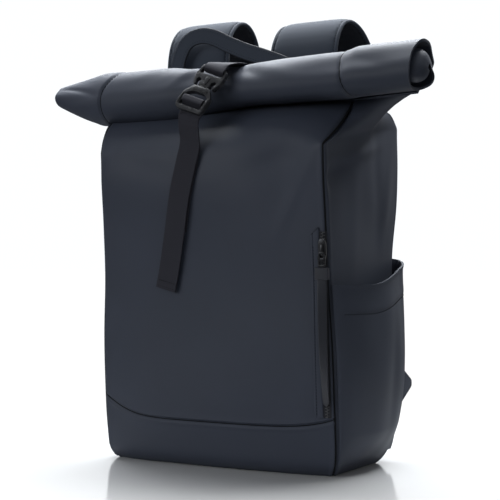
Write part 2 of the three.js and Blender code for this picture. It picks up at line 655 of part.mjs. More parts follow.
const zipLow = BAND_RIGHT + SEAM_GAP * 2;
const tapeLeft = ZIP_X - ZIP_TAPE_WIDTH / 2;
const tapeRight = ZIP_X + ZIP_TAPE_WIDTH / 2;
const teethLeft = ZIP_X - ZIP_TEETH_WIDTH / 2;
const teethRight = ZIP_X + ZIP_TEETH_WIDTH / 2;
const toothTop = ZIP_TAPE_THICK + ZIP_TEETH_HEIGHT;
addPiece('zip_tape', frontStrip(
  [tapeLeft, teethLeft - 0.4, teethLeft, teethRight, teethRight + 0.4, tapeRight],
  zipLow,
  ZIP_TOP - SLIDER_WIDTH / 2,
  16,
  LAYER_GAP,
  (column) => (column === 2 || column === 3 ? toothTop : ZIP_TAPE_THICK),
), WEBBING);
const weltRight = tapeLeft - SEAM_GAP;
addPiece('zip_welt', frontStrip(
  [weltRight - WELT_WIDTH, weltRight - WELT_WIDTH * 0.6, weltRight - 0.8, weltRight],
  zipLow,
  [ZIP_TOP - WELT_WIDTH, ZIP_TOP - WELT_WIDTH * 0.6, ZIP_TOP - 0.8, ZIP_TOP],
  16,
  LAYER_GAP,
  (column) => (column === 3 ? WELT_THICK * 0.6 : WELT_THICK),
), CLOTH);

// A box with its middle a given distance in front of the wall, standing along it
function onZip(name, z, offset, shape, finish, depth) {
  const place = onFront(ZIP_X, z, offset);
  const outward = wallNormal('front', ZIP_X / SHOULDER_HALF, z / FRONT_HEIGHT);
  const above = onFront(ZIP_X, z + 4, offset).sub(place).normalize();
  const across = above.clone().cross(outward).normalize();
  const upward = outward.clone().cross(across);
  const geometry = new THREE.ExtrudeGeometry(shape, { depth, bevelEnabled: false });
  geometry.translate(0, 0, -depth / 2);
  const mesh = addPiece(name, geometry, finish);
  mesh.position.copy(place);
  mesh.quaternion.setFromRotationMatrix(new THREE.Matrix4().makeBasis(across, upward, outward));
  return mesh;
}

// An outline with straight sides from rows of [x, y] points
const outline = (points) => new THREE.Shape(points.map(([x, y]) => new THREE.Vector2(x, y)));
const mirrored = (points) => [...points, ...points.map(([x, y]) => [-x, y]).reverse()];
const hole = (points) => new THREE.Path(points.map(([x, y]) => new THREE.Vector2(x, y)));

const sliderBase = LAYER_GAP + toothTop + SEAM_GAP;
const sliderMiddle = ZIP_TOP - SLIDER_LENGTH;
const sliderShape = outline(mirrored([
  [SLIDER_WIDTH * 0.3, SLIDER_LENGTH / 2],
  [SLIDER_WIDTH / 2, SLIDER_LENGTH * 0.3],
  [SLIDER_WIDTH / 2, -SLIDER_LENGTH * 0.35],
  [SLIDER_WIDTH * 0.32, -SLIDER_LENGTH / 2],
]).reverse());
const sliderDepth = SLIDER_HEIGHT - 2;
onZip('zip_slider', sliderMiddle, sliderBase + sliderDepth / 2, sliderShape, METAL, sliderDepth);

const pullerShape = outline(mirrored([
  [PULLER_WIDTH * 0.3, PULLER_LENGTH / 2],
  [PULLER_WIDTH / 2, PULLER_LENGTH * 0.2],
  [PULLER_WIDTH / 2, -PULLER_LENGTH / 2],
]).reverse());
pullerShape.holes.push(hole([
  [-PULLER_WIDTH * 0.3, -PULLER_LENGTH * 0.36],
  [-PULLER_WIDTH * 0.3, -PULLER_LENGTH * 0.12],
  [PULLER_WIDTH * 0.3, -PULLER_LENGTH * 0.12],
  [PULLER_WIDTH * 0.3, -PULLER_LENGTH * 0.36],
]));
const pullerMiddle = sliderMiddle - SLIDER_LENGTH / 2 + PULLER_LENGTH * 0.1;
const pullerOffset = sliderBase + sliderDepth + SEAM_GAP + PULLER_THICK / 2;
onZip('zip_puller', pullerMiddle, pullerOffset, pullerShape, METAL, PULLER_THICK);

// Pull strap below the puller, with a wider collar at its top
function pullStrapGeometry() {
  const top = pullerMiddle - PULLER_LENGTH / 2 - SEAM_GAP;
  const rings = [];
  const steps = [[0, 1], [PULL_COLLAR_LENGTH, 1], [PULL_COLLAR_LENGTH + 1, 0]];
  for (let i = 1; i <= 14; i += 1) {
    steps.push([mix(PULL_COLLAR_LENGTH + 1, PULL_STRAP_LENGTH, i / 14), 0]);
  }
  for (const [down, collar] of steps) {
    const share = down / PULL_STRAP_LENGTH;
    const wide = mix(PULL_STRAP_WIDTH * mix(1, 0.75, share), PULL_COLLAR_WIDTH, collar) / 2;
    const thick = mix(PULL_STRAP_THICK, PULL_COLLAR_THICK, collar) / 2;
    const sway = -PULL_STRAP_WIDTH * 0.12 * Math.sin(share * Math.PI);
    const offset = mix(pullerOffset, sliderBase + PULL_STRAP_THICK, share);
    const place = onFront(ZIP_X + sway, top - down, offset);
    const twist = 0.5 * Math.sin(share * Math.PI * 1.2);
    const across = vec(Math.cos(twist), Math.sin(twist), 0);
    const normal = vec(Math.sin(twist), -Math.cos(twist), 0);
    rings.push([[1, -1], [1, 1], [-1, 1], [-1, -1]].map(([a, n]) => place.clone()
      .addScaledVector(across, a * wide)
      .addScaledVector(normal, n * thick)));
  }
  return ringSolid(rings);
}
addPiece('zip_pull_strap', pullStrapGeometry(), WEBBING);

// The closure strap and the buckle lie in one plane that leans to the right.
const leanX = (z) => STRAP_X + (z - STRAP_X_HEIGHT) * STRAP_LEAN;
const leanPoint = ([y, z]) => vec(leanX(z), y, z);
const leanAcross = vec(1, 0, -STRAP_LEAN).normalize();
const level = vec(1, 0, 0);

// The buckle's own axes: along its length, and outwards from the roll
const halfLayers = BUCKLE_THICK / 2 + 2 * WEBBING_THICK + 2 * LAYER_GAP;
const faceAngle = Math.PI - BUCKLE_TILT;
const faceRadius = ROLL_RADIUS * (1 - ROLL_TRIANGLE) * (1 - ROLL_STRAP_PINCH) + ROLL_SHEET / 2;
const buckleAlong = vec(Math.sin(BUCKLE_TILT), Math.cos(BUCKLE_TILT), 0);
const buckleOut = vec(Math.cos(faceAngle), Math.sin(faceAngle), 0);
const buckleY = ROLL_CENTRE_Y + (faceRadius + halfLayers + 2) * buckleOut.x - BUCKLE_DROP * buckleAlong.x;
const buckleZ = ROLL_CENTRE_Z + (faceRadius + halfLayers + 2) * buckleOut.y - BUCKLE_DROP * buckleAlong.y;
const buckleOrigin = leanPoint([buckleY, buckleZ]);
const buckleAbove = leanPoint([buckleY + buckleAlong.x, buckleZ + buckleAlong.y]);
const buckleUp = buckleAbove.sub(buckleOrigin).normalize();
const buckleFace = leanAcross.clone().cross(buckleUp).normalize();
const onBuckle = ([along, out]) => buckleOrigin.clone()
  .addScaledVector(buckleUp, along)
  .addScaledVector(buckleFace, out);

function placeBuckle(name, shape) {
  const geometry = new THREE.ExtrudeGeometry(shape, { depth: BUCKLE_THICK, bevelEnabled: false });
  geometry.translate(0, 0, -BUCKLE_THICK / 2);
  const mesh = addPiece(name, geometry, PLASTIC);
  mesh.position.copy(buckleOrigin);
  mesh.quaternion.setFromRotationMatrix(new THREE.Matrix4().makeBasis(leanAcross, buckleUp, buckleFace));
}

const halfLength = BUCKLE_LENGTH / 2;
const halfWidth = BUCKLE_WIDTH / 2;
const slotHalf = WEBBING_WIDTH / 2 + 1;
const barLow = -halfLength + BUCKLE_RIM + BUCKLE_SLOT; // crossbar of the lower half
const barHigh = barLow + 4;
const archHigh = barHigh + 10;
const socketShape = outline(mirrored([
  [halfWidth - 3, -halfLength],
  [halfWidth, -halfLength + 4],
  [halfWidth, archHigh - 4],
  [halfWidth * 0.62, BUCKLE_JOIN - 2],
  [halfWidth * 0.5, BUCKLE_JOIN],
]));
socketShape.holes.push(hole(mirrored([
  [-slotHalf, barLow - BUCKLE_SLOT],
  [-slotHalf, barLow],
])));
socketShape.holes.push(hole(mirrored([
  [-slotHalf, barHigh],
  [-slotHalf, archHigh - 5],
  [-slotHalf * 0.85, archHigh - 3],
  [-slotHalf * 0.45, archHigh],
])));
placeBuckle('buckle_socket', socketShape);

const plugBar = halfLength - BUCKLE_RIM;
const plugSlot = plugBar - BUCKLE_SLOT;
const plugShape = outline(mirrored([
  [BUCKLE_WAIST / 2, BUCKLE_JOIN + SEAM_GAP],
  [BUCKLE_WAIST / 2, BUCKLE_JOIN + 8],
  [halfWidth * 0.62, plugSlot - 5.5],
  [halfWidth * 0.72, BUCKLE_JOIN + 7],
  [halfWidth * 0.6, BUCKLE_JOIN + SEAM_GAP],
  [halfWidth * 0.75, BUCKLE_JOIN + SEAM_GAP],
  [halfWidth * 0.92, BUCKLE_JOIN + 7],
  [halfWidth * 0.97, plugSlot - 1],
  [halfWidth * 0.9, halfLength - 2],
  [halfWidth * 0.8, halfLength],
]));
plugShape.holes.push(hole(mirrored([
  [-slotHalf, plugSlot],
  [-slotHalf, plugBar],
])));
placeBuckle('buckle_plug', plugShape);

// Front webbing: sewn to the front wall, up behind the buckle, through the arch, over the crossbar, down
// behind the lower rim, and hanging free
const layer = WEBBING_THICK + LAYER_GAP;
const firstLayer = LAYER_GAP + WEBBING_THICK / 2;
// Places where webbing turns round the outer corner of a bar. way: 1 where the bar ends upwards, -1 where it
// ends downwards.
function wrapCorner(end, way, around) {
  const face = BUCKLE_THICK / 2;
  const slant = around * Math.SQRT1_2;
  return [
    [end + way * around, face * 0.6],
    [end + way * slant, face + slant],
    [end - way * 0.6, face + around],
  ];
}

function frontWebbing() {
  const points = [];
  const onWall = (z, offset) => leanPoint([onFront(leanX(z), z, offset).y, z]);
  for (const share of [1, 0.855, 0.64, 0.4, 0.18]) {
    points.push(onWall(FRONT_HEIGHT - STRAP_ANCHOR_DROP * share, firstLayer));
  }
  points.push(onWall(FRONT_HEIGHT - 6, firstLayer + 2));
  points.push(leanPoint([flatWall('front', 0, 1).y - firstLayer - 2, FRONT_HEIGHT + 2]));
  const near = BUCKLE_THICK / 2 + LAYER_GAP + WEBBING_THICK / 2;
  const around = WEBBING_THICK / 2 + LAYER_GAP + 0.1;
  const barMiddle = (barLow + barHigh) / 2;
  const turns = [
    [-halfLength - 8, -near - layer],
    [barMiddle - 4, -near - layer],
    [barMiddle + 2, -near - layer],
    [barHigh + around, -near - layer / 2],
    [barHigh + around + 0.4, -near * 0.4],
    ...wrapCorner(barHigh, 1, around),
    [barMiddle, near + 0.1],
    ...wrapCorner(barLow, -1, around).reverse(),
    [barLow - around - 0.6, 0],
    [barLow - around - 1.4, -near * 0.7],
    [barLow - around - 3.6, -near],
    [-halfLength + 1, -near],
    [-halfLength - 6, -near + 0.4],
  ];
  points.push(...turns.map(onBuckle));
  points.push(leanPoint([flatWall('front', 0, 1).y - firstLayer - layer - 2.6, FRONT_HEIGHT + 6]));
  for (const share of [0.08, 0.33, 0.57, 0.81, 1]) {
    points.push(onWall(FRONT_HEIGHT - STRAP_END_DROP * share, firstLayer + layer + 1.6));
  }
  return band(smoothPath(points, 3), () => leanAcross.clone(), () => ({
    width: WEBBING_WIDTH,
    thick: WEBBING_THICK,
  }));
}
addPiece('closure_strap_front', frontWebbing(), WEBBING);

// Rear webbing: round the bar of the plug, over the roll, and down behind it onto the back wall
function rearWebbing() {
  const near = BUCKLE_THICK / 2 + LAYER_GAP + WEBBING_THICK / 2;
  const around = WEBBING_THICK / 2 + LAYER_GAP + 0.1;
  const points = [
    [plugBar + 9, -near - 0.6],
    [plugBar + 2, -near],
    [plugBar - around * 0.7, -near * 0.9],
    [plugBar - around - 0.3, -near * 0.4],
    [plugBar - around - 0.3, 0],
    ...wrapCorner(plugBar, -1, around),
    [halfLength + 1, near - 0.4],
    [halfLength + 6, near - 2.6],
  ].map(onBuckle);
  const overRoll = (degrees, offset) => {
    const point = rollPoint(PINCH_X, THREE.MathUtils.degToRad(degrees), ROLL_SHEET / 2 + offset);
    return leanPoint([point.y, point.z]);
  };
  for (const degrees of [88, 68, 45, 20, 0]) {
    points.push(overRoll(degrees, firstLayer + (degrees > 80 ? 2 : 0.6)));
  }
  for (const share of [0.45, 0.6, 0.8, 1]) {
    const place = onBackNeck(STRAP_X, NECK_Y + STRAP_BACK_REACH * share, firstLayer + 0.7);
    points.push(leanPoint([place.y, place.z]));
  }
  const path = smoothPath(points, 3);
  const turn = path.length;
  const turned = (i) => leanAcross.clone().lerp(level, smooth(turn * 0.4, turn * 0.6, i));
  return band(path, turned, () => ({
    width: WEBBING_WIDTH,
    thick: WEBBING_THICK,
  }));
}
addPiece('closure_strap_back', rearWebbing(), WEBBING);

// Carry handle: a flat band that has flopped to the left. across: share of the root spacing; rise: height
// above the roll's centre, in shares of HANDLE_RISE.
const HANDLE_ROUTE = [
  { across: 0.0, rise: -0.14 },
  { across: 0.0, rise: 0.3 },
  { across: 0.02, rise: 0.66 },
  { across: 0.09, rise: 0.92 },
  { across: 0.2, rise: 1.0 },
  { across: 0.31, rise: 0.95 },
  { across: 0.42, rise: 0.84 },
  { across: 0.56, rise: 0.75 },
  { across: 0.76, rise: 0.68 },
  { across: 0.92, rise: 0.52 },
  { across: 0.99, rise: 0.26 },
  { across: 1.0, rise: -0.14 },
];
function handleGeometry() {
  const seat = (x) => onBackNeck(x, HANDLE_Y - HANDLE_THICK / 2, SEAM_GAP).z;
  const points = HANDLE_ROUTE.map(({ across, rise }) => vec(
    mix(HANDLE_LEFT, HANDLE_RIGHT, across),
    HANDLE_Y,
    ROLL_CENTRE_Z + HANDLE_RISE * rise - HANDLE_WIDTH * 0.2,
  ));
  points[0].z = seat(HANDLE_LEFT);
  points[points.length - 1].z = seat(HANDLE_RIGHT);
  const outward = vec(0, -1, 0);
  return band(smoothPath(points, 4), (i, tangent) => outward.clone().cross(tangent), () => ({
    width: HANDLE_WIDTH,
    thick: HANDLE_THICK,
  }));
}
addPiece('carry_handle', handleGeometry(), WEBBING);

// Shoulder straps. y: share of STRAP_HANG; z: share of STRAP_TOP less half the pad. The root is sewn to the
// back wall behind the roll, and the strap hangs down behind the back.
const STRAP_ROUTE = [
  { y: 0.05, z: 0.835 },
  { y: 0.03, z: 0.9 },
  { y: 0.09, z: 0.957 },
  { y: 0.22, z: 0.991 },
  { y: 0.38, z: 1.0 },
  { y: 0.56, z: 0.985 },
  { y: 0.73, z: 0.94 },
  { y: 0.85, z: 0.87 },
  { y: 0.92, z: 0.78 },
  { y: 0.97, z: 0.64 },
  { y: 1.0, z: 0.46 },
];
function strapGeometry(side) {
  const top = STRAP_TOP - STRAP_PAD / 2;
  const places = STRAP_ROUTE.map(({ y, z }) => [y * STRAP_HANG, z * top]);
  places.push([STRAP_HANG, STRAP_FOOT_HEIGHT]);
  const total = places.length - 1;
  const points = places.map(([y, z], i) => vec(
    side * mix(STRAP_ROOT_X, STRAP_FOOT_X, smooth(0.3, 1, i / total)),
    y,
    z,
  ));
  points[0].y = STRAP_ROOT_Y;
  points[0].z = onBackNeck(STRAP_ROOT_X, STRAP_ROOT_Y - STRAP_PAD / 2, SEAM_GAP).z + STRAP_PAD / 8;
  return band(smoothPath(points, 3), () => vec(1, 0, 0), (share) => ({
    width: mix(STRAP_ROOT_WIDTH, STRAP_FOOT_WIDTH, smooth(0.1, 1, share)),
    thick: STRAP_PAD,
    edge: STRAP_EDGE,
  }));
}

// Triangular tab in the rear seam, the webbing from it, and the ladder lock at the foot of the strap
function tabGeometry(side) {
  const pocket = side > 0 ? LAYER_GAP + POCKET_WALL + POCKET_REAR_OFFSET : 0;
  const seamAt = (z) => seamPoint(side, 'back', z / BACK_HEIGHT).y + pocket + 2 * SEAM_GAP;
  const middle = (TAB_LOW + TAB_HIGH) / 2;
  const tip = seamPoint(side, 'back', middle / BACK_HEIGHT).y + TAB_REACH;
  const shape = outline([
    [seamAt(TAB_LOW), TAB_LOW],
    [tip, middle - 3.5],
    [tip, middle + 3.5],
    [seamAt(TAB_HIGH), TAB_HIGH],
  ]);
  const geometry = new THREE.ExtrudeGeometry(shape, { depth: TAB_THICK, bevelEnabled: false });
  const turn = new THREE.Matrix4().makeBasis(vec(0, 1, 0), vec(0, 0, 1), vec(1, 0, 0));
  geometry.applyMatrix4(turn);
  const place = side * (seamPoint(1, 'back', middle / BACK_HEIGHT).x - TAB_THICK);
  geometry.translate(place - TAB_THICK / 2, 0, 0);
  return { geometry, tip: vec(place, tip, middle) };
}

for (const [name, side] of [['right', 1], ['left', -1]]) {
  addPiece(`shoulder_strap_${name}`, strapGeometry(side), CLOTH);
  const tab = tabGeometry(side);
  addPiece(`strap_tab_${name}`, tab.geometry, CLOTH);
  const lockTop = STRAP_FOOT_HEIGHT - SEAM_GAP;
  const lockShape = outline(mirrored([
    [LOCK_WIDTH / 2 - 2, LOCK_LENGTH / 2],
    [LOCK_WIDTH / 2, LOCK_LENGTH / 2 - 3],
    [LOCK_WIDTH / 2 - 1, -LOCK_LENGTH / 2],
  ]).reverse());
  const lockGeometry = new THREE.ExtrudeGeometry(lockShape, { depth: LOCK_THICK, bevelEnabled: false });
  const lock = addPiece(`ladder_lock_${name}`, lockGeometry, PLASTIC);
  lock.rotation.x = Math.PI / 2;
  lock.position.set(side * STRAP_FOOT_X, STRAP_HANG + LOCK_THICK / 2, lockTop - LOCK_LENGTH / 2);
  const start = vec(side * STRAP_FOOT_X, STRAP_HANG, lockTop - LOCK_LENGTH - SEAM_GAP - WEBBING_THICK / 2);
  const inset = TAB_THICK / 2 + LAYER_GAP + WEBBING_THICK / 2;
  const end = tab.tip.clone().add(vec(-side * inset, -TAB_LAP, 0));
  const below = start.clone().add(vec(0, TAB_LAP / 4, tab.tip.z - start.z + TAB_LAP));
  const behind = end.clone().add(vec(-side * TAB_LAP, STRAP_HANG / 5, 0));
  const route = new THREE.CubicBezierCurve3(start, below, behind, end).getPoints(WEBBING_STEPS);
  const turn = (i) => smooth(0, WEBBING_STEPS, i) * Math.PI / 2;
  const across = (i) => vec(side * Math.cos(turn(i)), 0, Math.sin(turn(i)));
  const webbing = band(route, across, () => ({ width: WEBBING_WIDTH * 0.8, thick: WEBBING_THICK }));
  addPiece(`strap_webbing_${name}`, webbing, WEBBING);
}

export default bag;
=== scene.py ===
"""Looks of a rolltop backpack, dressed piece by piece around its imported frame.

Every formula is in millimetres, and a mesh is filled in metres. X is the width (right is +X), the front faces
-Y, Z is up, and the origin is the middle of the base on the floor, as in the frame.
"""
import logging
import math
from dataclasses import dataclass, field
from enum import Enum
from typing import Optional, Sequence

import bmesh
import bpy
import numpy as np
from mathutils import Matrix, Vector


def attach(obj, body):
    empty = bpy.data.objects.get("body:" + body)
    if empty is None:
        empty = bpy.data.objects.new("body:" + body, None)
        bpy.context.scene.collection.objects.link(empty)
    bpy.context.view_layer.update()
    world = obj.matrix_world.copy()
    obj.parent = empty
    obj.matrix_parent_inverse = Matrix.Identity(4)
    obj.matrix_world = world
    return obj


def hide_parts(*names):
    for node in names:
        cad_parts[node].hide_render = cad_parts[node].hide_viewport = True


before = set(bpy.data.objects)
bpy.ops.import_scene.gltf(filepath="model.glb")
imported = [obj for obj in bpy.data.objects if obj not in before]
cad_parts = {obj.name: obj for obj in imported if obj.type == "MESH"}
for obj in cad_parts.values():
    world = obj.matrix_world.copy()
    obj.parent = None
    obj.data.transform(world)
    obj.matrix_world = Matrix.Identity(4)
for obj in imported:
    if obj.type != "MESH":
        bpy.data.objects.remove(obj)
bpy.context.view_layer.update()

log = logging.getLogger("rolltop_backpack")
Array = np.ndarray
MM = 0.001
TAU = 2 * math.pi
X_AXIS, Y_AXIS, Z_AXIS = np.eye(3)


# Small sums that every surface uses


def smooth(low: float, high: float, value: Array) -> Array:
    """Rise from 0 at low to 1 at high with level ends: t²(3 - 2t)."""
    share = np.clip((np.asarray(value, float) - low) / (high - low), 0.0, 1.0)
    return share * share * (3 - 2 * share)


def mix(start: Array, end: Array, share: Array) -> Array:
    """Straight blend start + (end - start) · share."""
    return start + (end - start) * share


def hump(value: Array) -> Array:
    """Bell curve exp(-v²)."""
    return np.exp(-np.asarray(value, float) ** 2)


def unit(vectors: Array) -> Array:
    """Vectors divided by their lengths."""
    return vectors / np.maximum(np.linalg.norm(vectors, axis=-1, keepdims=True), 1e-9)


def vec(*parts: Array) -> Array:
    """Points from their x, y and z arrays."""
    return np.stack(np.broadcast_arrays(*[np.asarray(part, float) for part in parts]), -1)


def along_path(points: Array) -> Array:
    """Distance along a path at each of its points."""
    steps = np.linalg.norm(np.diff(points, axis=0), axis=1)
    return np.concatenate([[0.0], np.cumsum(steps)])


def at_reach(values: Array, reach: Array, wanted: Array) -> Array:
    """Values (n, k) that belong to a path's points, at some distances along it."""
    return np.stack([np.interp(wanted, reach, column) for column in values.T], -1)


def resample(points: Array, count: int) -> Array:
    """The same path with evenly spaced points."""
    reach = along_path(points)
    return at_reach(points, reach, np.linspace(0, reach[-1], count))


def smooth_path(points: Sequence, steps: int) -> Array:
    """Centripetal Catmull-Rom curve through some points.

    Between two points p1 and p2 it is the cubic with those ends, whose slopes come from the neighbours p0 and
    p3 with knots spaced by the root of the distances.

    Args:
        points: Points (n, 3) that the curve passes.
        steps: Steps between two neighbouring points.

    Returns:
        Points ((n - 1) · steps + 1, 3) on the curve.
    """
    given = np.asarray(points, float)
    padded = np.concatenate([[2 * given[0] - given[1]], given, [2 * given[-1] - given[-2]]])
    gaps = np.sqrt(np.maximum(np.linalg.norm(np.diff(padded, axis=0), axis=1), 1e-9))[:, None]
    p0, p1, p2, p3 = padded[:-3], padded[1:-2], padded[2:-1], padded[3:]
    g0, g1, g2 = gaps[:-2], gaps[1:-1], gaps[2:]
    slope1 = ((p1 - p0) / g0 - (p2 - p0) / (g0 + g1) + (p2 - p1) / g1) * g1
    slope2 = ((p2 - p1) / g1 - (p3 - p1) / (g1 + g2) + (p3 - p2) / g2) * g1
    t = np.linspace(0, 1, steps, endpoint=False)[None, :, None]
    a, b = p1[:, None], p2[:, None]
    m, n = slope1[:, None], slope2[:, None]
    first = (2 * t**3 - 3 * t**2 + 1) * a + (t**3 - 2 * t**2 + t) * m
    curve = first + (3 * t**2 - 2 * t**3) * b + (t**3 - t**2) * n
    return np.concatenate([curve.reshape(-1, given.shape[1]), given[-1:]])


def grid_normals(points: Array) -> Array:
    """Normals of a grid of points: columns cross rows."""
    return unit(np.cross(np.gradient(points, axis=1), np.gradient(points, axis=0)))


# Shader node groups: each effect is built once and placed in every finish that uses it


class NodeKit:
    """Adds shader nodes to one tree and joins them."""

    def __init__(self, tree: bpy.types.NodeTree) -> None:
        """Keeps the tree that the nodes go into."""
        self.tree = tree

    def add(self, kind: str, inputs: Optional[dict] = None, **settings: object) -> bpy.types.Node:
        """Adds one node.

        Args:
            kind: Its type without the leading ShaderNode.
            inputs: Values or output sockets by input name or number.
            settings: Properties of the node.

        Returns:
            The new node.
        """
        node = self.tree.nodes.new("ShaderNode" + kind)
        for name, value in settings.items():
            setattr(node, name, value)
        for name, value in (inputs or {}).items():
            if isinstance(value, bpy.types.NodeSocket):
                self.tree.links.new(value, node.inputs[name])
            else:
                node.inputs[name].default_value = value
        return node

    def effect(self, effect: "Effect", **inputs: object) -> bpy.types.NodeOutputs:
        """Outputs of a shared effect placed in this tree, whose group is made the first time."""
        tree = bpy.data.node_groups.get(effect.value) or GROUP_MAKERS[effect]()
        return self.add("Group", inputs, node_tree=tree).outputs

    def noise(self, vector: object, scale: object, detail: float) -> bpy.types.NodeSocket:
        """Noise from 0 to 1."""
        return self.add("TexNoise", {"Vector": vector, "Scale": scale, "Detail": detail}).outputs["Fac"]

    def sum(self, operation: str, first: object, second: object = 0.0) -> bpy.types.NodeSocket:
        """Output of a math node with one or two inputs."""
        return self.add("Math", {0: first, 1: second}, operation=operation).outputs[0]

    def ramp(
        self, value: object, low: float, high: float, start: float = 0, end: float = 1
    ) -> bpy.types.NodeSocket:
        """Smooth map of a value from low..high to start..end."""
        inputs = {"Value": value, "From Min": low, "From Max": high, "To Min": start, "To Max": end}
        return self.add("MapRange", inputs, interpolation_type="SMOOTHSTEP").outputs["Result"]

    def blend(self, share: object, first: object, second: object) -> bpy.types.NodeSocket:
        """Mix of two colours, each a socket or its red, green and blue."""
        pair = [part if isinstance(part, bpy.types.NodeSocket) else (*part, 1) for part in (first, second)]
        return self.add("Mix", {0: share, 6: pair[0], 7: pair[1]}, data_type="RGBA").outputs[2]

    def give(self, out: bpy.types.NodeInputs, **sockets: bpy.types.NodeSocket) -> bpy.types.NodeTree:
        """Joins sockets to a group's outputs by name, and returns the tree."""
        for name, socket in sockets.items():
            self.tree.links.new(socket, out[name])
        return self.tree


def new_group(name: str, values: dict, outputs: Sequence[str]) -> tuple:
    """Makes an empty node group.

    Args:
        name: Its name.
        values: First value of each number that it takes beside its Vector.
        outputs: Names of the numbers that it puts out.
    """
    tree = bpy.data.node_groups.new(name, "ShaderNodeTree")
    tree.interface.new_socket(name="Vector", in_out="INPUT", socket_type="NodeSocketVector")
    for label, value in values.items():
        socket = tree.interface.new_socket(name=label, in_out="INPUT", socket_type="NodeSocketFloat")
        socket.default_value = value
    for label in outputs:
        tree.interface.new_socket(name=label, in_out="OUTPUT", socket_type="NodeSocketFloat")
    return NodeKit(tree), tree.nodes.new("NodeGroupInput").outputs, tree.nodes.new("NodeGroupOutput").inputs


def cloth_grain_group() -> bpy.types.NodeTree:
    """Coated cloth: Tone is slow noise at Patch, Height a leathery noise + 0.25 · fine bands, both at Grain."""
    kit, given, out = new_group("cloth_grain", {"Patch": 9.0, "Grain": 900.0}, ("Tone", "Height"))
    vector = given["Vector"]
    patch = kit.noise(vector, given["Patch"], 3.0)
    grain = kit.noise(vector, given["Grain"], 2.0)
    turned = kit.add("Mapping", {"Vector": vector, "Rotation": (0.0, 0.6, 0.0)}).outputs[0]
    bands = kit.add("TexWave", {"Vector": turned, "Scale": given["Grain"]}).outputs["Fac"]
    height = kit.sum("ADD", grain, kit.sum("MULTIPLY", bands, 0.25))
    return kit.give(out, Tone=kit.ramp(patch, 0.3, 0.7), Height=height)


def edge_wear_highlight_group() -> bpy.types.NodeTree:
    """Lighter edges where the surface is sharply convex and a coarse noise lets it show: wear, and on the plastic
    also painted highlight.
    """
    kit, given, out = new_group("edge_wear_highlight_mask", {"Start": 0.54, "Full": 0.62}, ("Mask",))
    point = kit.add("NewGeometry").outputs["Pointiness"]
    inputs = {"Value": point, "From Min": given["Start"], "From Max": given["Full"]}
    edge = kit.add("MapRange", inputs).outputs["Result"]
    return kit.give(out, Mask=kit.sum("MULTIPLY", edge, kit.noise(given["Vector"], 60.0, 3.0)))


def dust_group() -> bpy.types.NodeTree:
    """Faint dust: noise that gathers where the surface faces up."""
    kit, given, out = new_group("dust", {"Amount": 0.1}, ("Mask",))
    upward = kit.add("SeparateXYZ", {0: kit.add("NewGeometry").outputs["Normal"]}).outputs["Z"]
    speck = kit.ramp(kit.noise(given["Vector"], 34.0, 6.0), 0.35, 0.8)
    lying = kit.sum("MULTIPLY", kit.ramp(upward, 0.0, 1.0, 0.25, 1.0), speck)
    return kit.give(out, Mask=kit.sum("MULTIPLY", lying, given["Amount"]))


def webbing_weave_group() -> bpy.types.NodeTree:
    """Woven webbing on its own map: ribs along it, crossed by picks that shift half a step on every other rib.

    Height = |sin(πu/rib)| · (0.4 + 0.6 · |sin(πv/pick + π/2 · odd rib)|) with u across and v along, in metres. Mask
    runs from 0 in the low parts to 1 on the tops, and the finish's colour follows it: painted shade in the grooves.
    """
    kit, given, out = new_group("webbing_weave", {"Rib": 0.0016, "Pick": 0.0014}, ("Height", "Mask"))
    parts = kit.add("SeparateXYZ", {0: given["Vector"]}).outputs
    across = kit.sum("DIVIDE", parts["X"], given["Rib"])
    along = kit.sum("DIVIDE", parts["Y"], given["Pick"])
    odd = kit.sum("MODULO", kit.sum("ABSOLUTE", kit.sum("FLOOR", across)), 2.0)
    shifted = kit.sum("ADD", along, kit.sum("MULTIPLY", odd, 0.5))
    rib, pick = [
        kit.sum("ABSOLUTE", kit.sum("SINE", kit.sum("MULTIPLY", step, math.pi))) for step in (across, shifted)
    ]
    height = kit.sum("MULTIPLY", rib, kit.sum("ADD", kit.sum("MULTIPLY", pick, 0.6), 0.4))
    return kit.give(out, Height=height, Mask=kit.ramp(height, 0.1, 0.9))


def mesh_knit_group() -> bpy.types.NodeTree:
    """Open spacer knit: round cells with sunk middles; its Mask darkens the middles in the finish's colour, which is
    painted shade.
    """
    kit, given, out = new_group("mesh_knit", {"Cells": 420.0}, ("Height", "Mask"))
    cells = kit.add("TexVoronoi", {"Vector": given["Vector"], "Scale": given["Cells"], "Randomness": 0.25})
    height = kit.ramp(cells.outputs["Distance"], 0.12, 0.55)
    return kit.give(out, Height=height, Mask=height)


class Effect(Enum):
    """The shared shader effects."""

    CLOTH_GRAIN = "cloth_grain"
    EDGE_WEAR_HIGHLIGHT = "edge_wear_highlight_mask"
    DUST = "dust"
    WEBBING_WEAVE = "webbing_weave"
    MESH_KNIT = "mesh_knit"


GROUP_MAKERS: dict = {
    Effect.CLOTH_GRAIN: cloth_grain_group,
    Effect.EDGE_WEAR_HIGHLIGHT: edge_wear_highlight_group,
    Effect.DUST: dust_group,
    Effect.WEBBING_WEAVE: webbing_weave_group,
    Effect.MESH_KNIT: mesh_knit_group,
}


# Finishes


class Pattern(Enum):
    """What gives a finish its relief."""

    COAT = "coat"
    WEAVE = "weave"
    KNIT = "knit"
    MOULD = "mould"


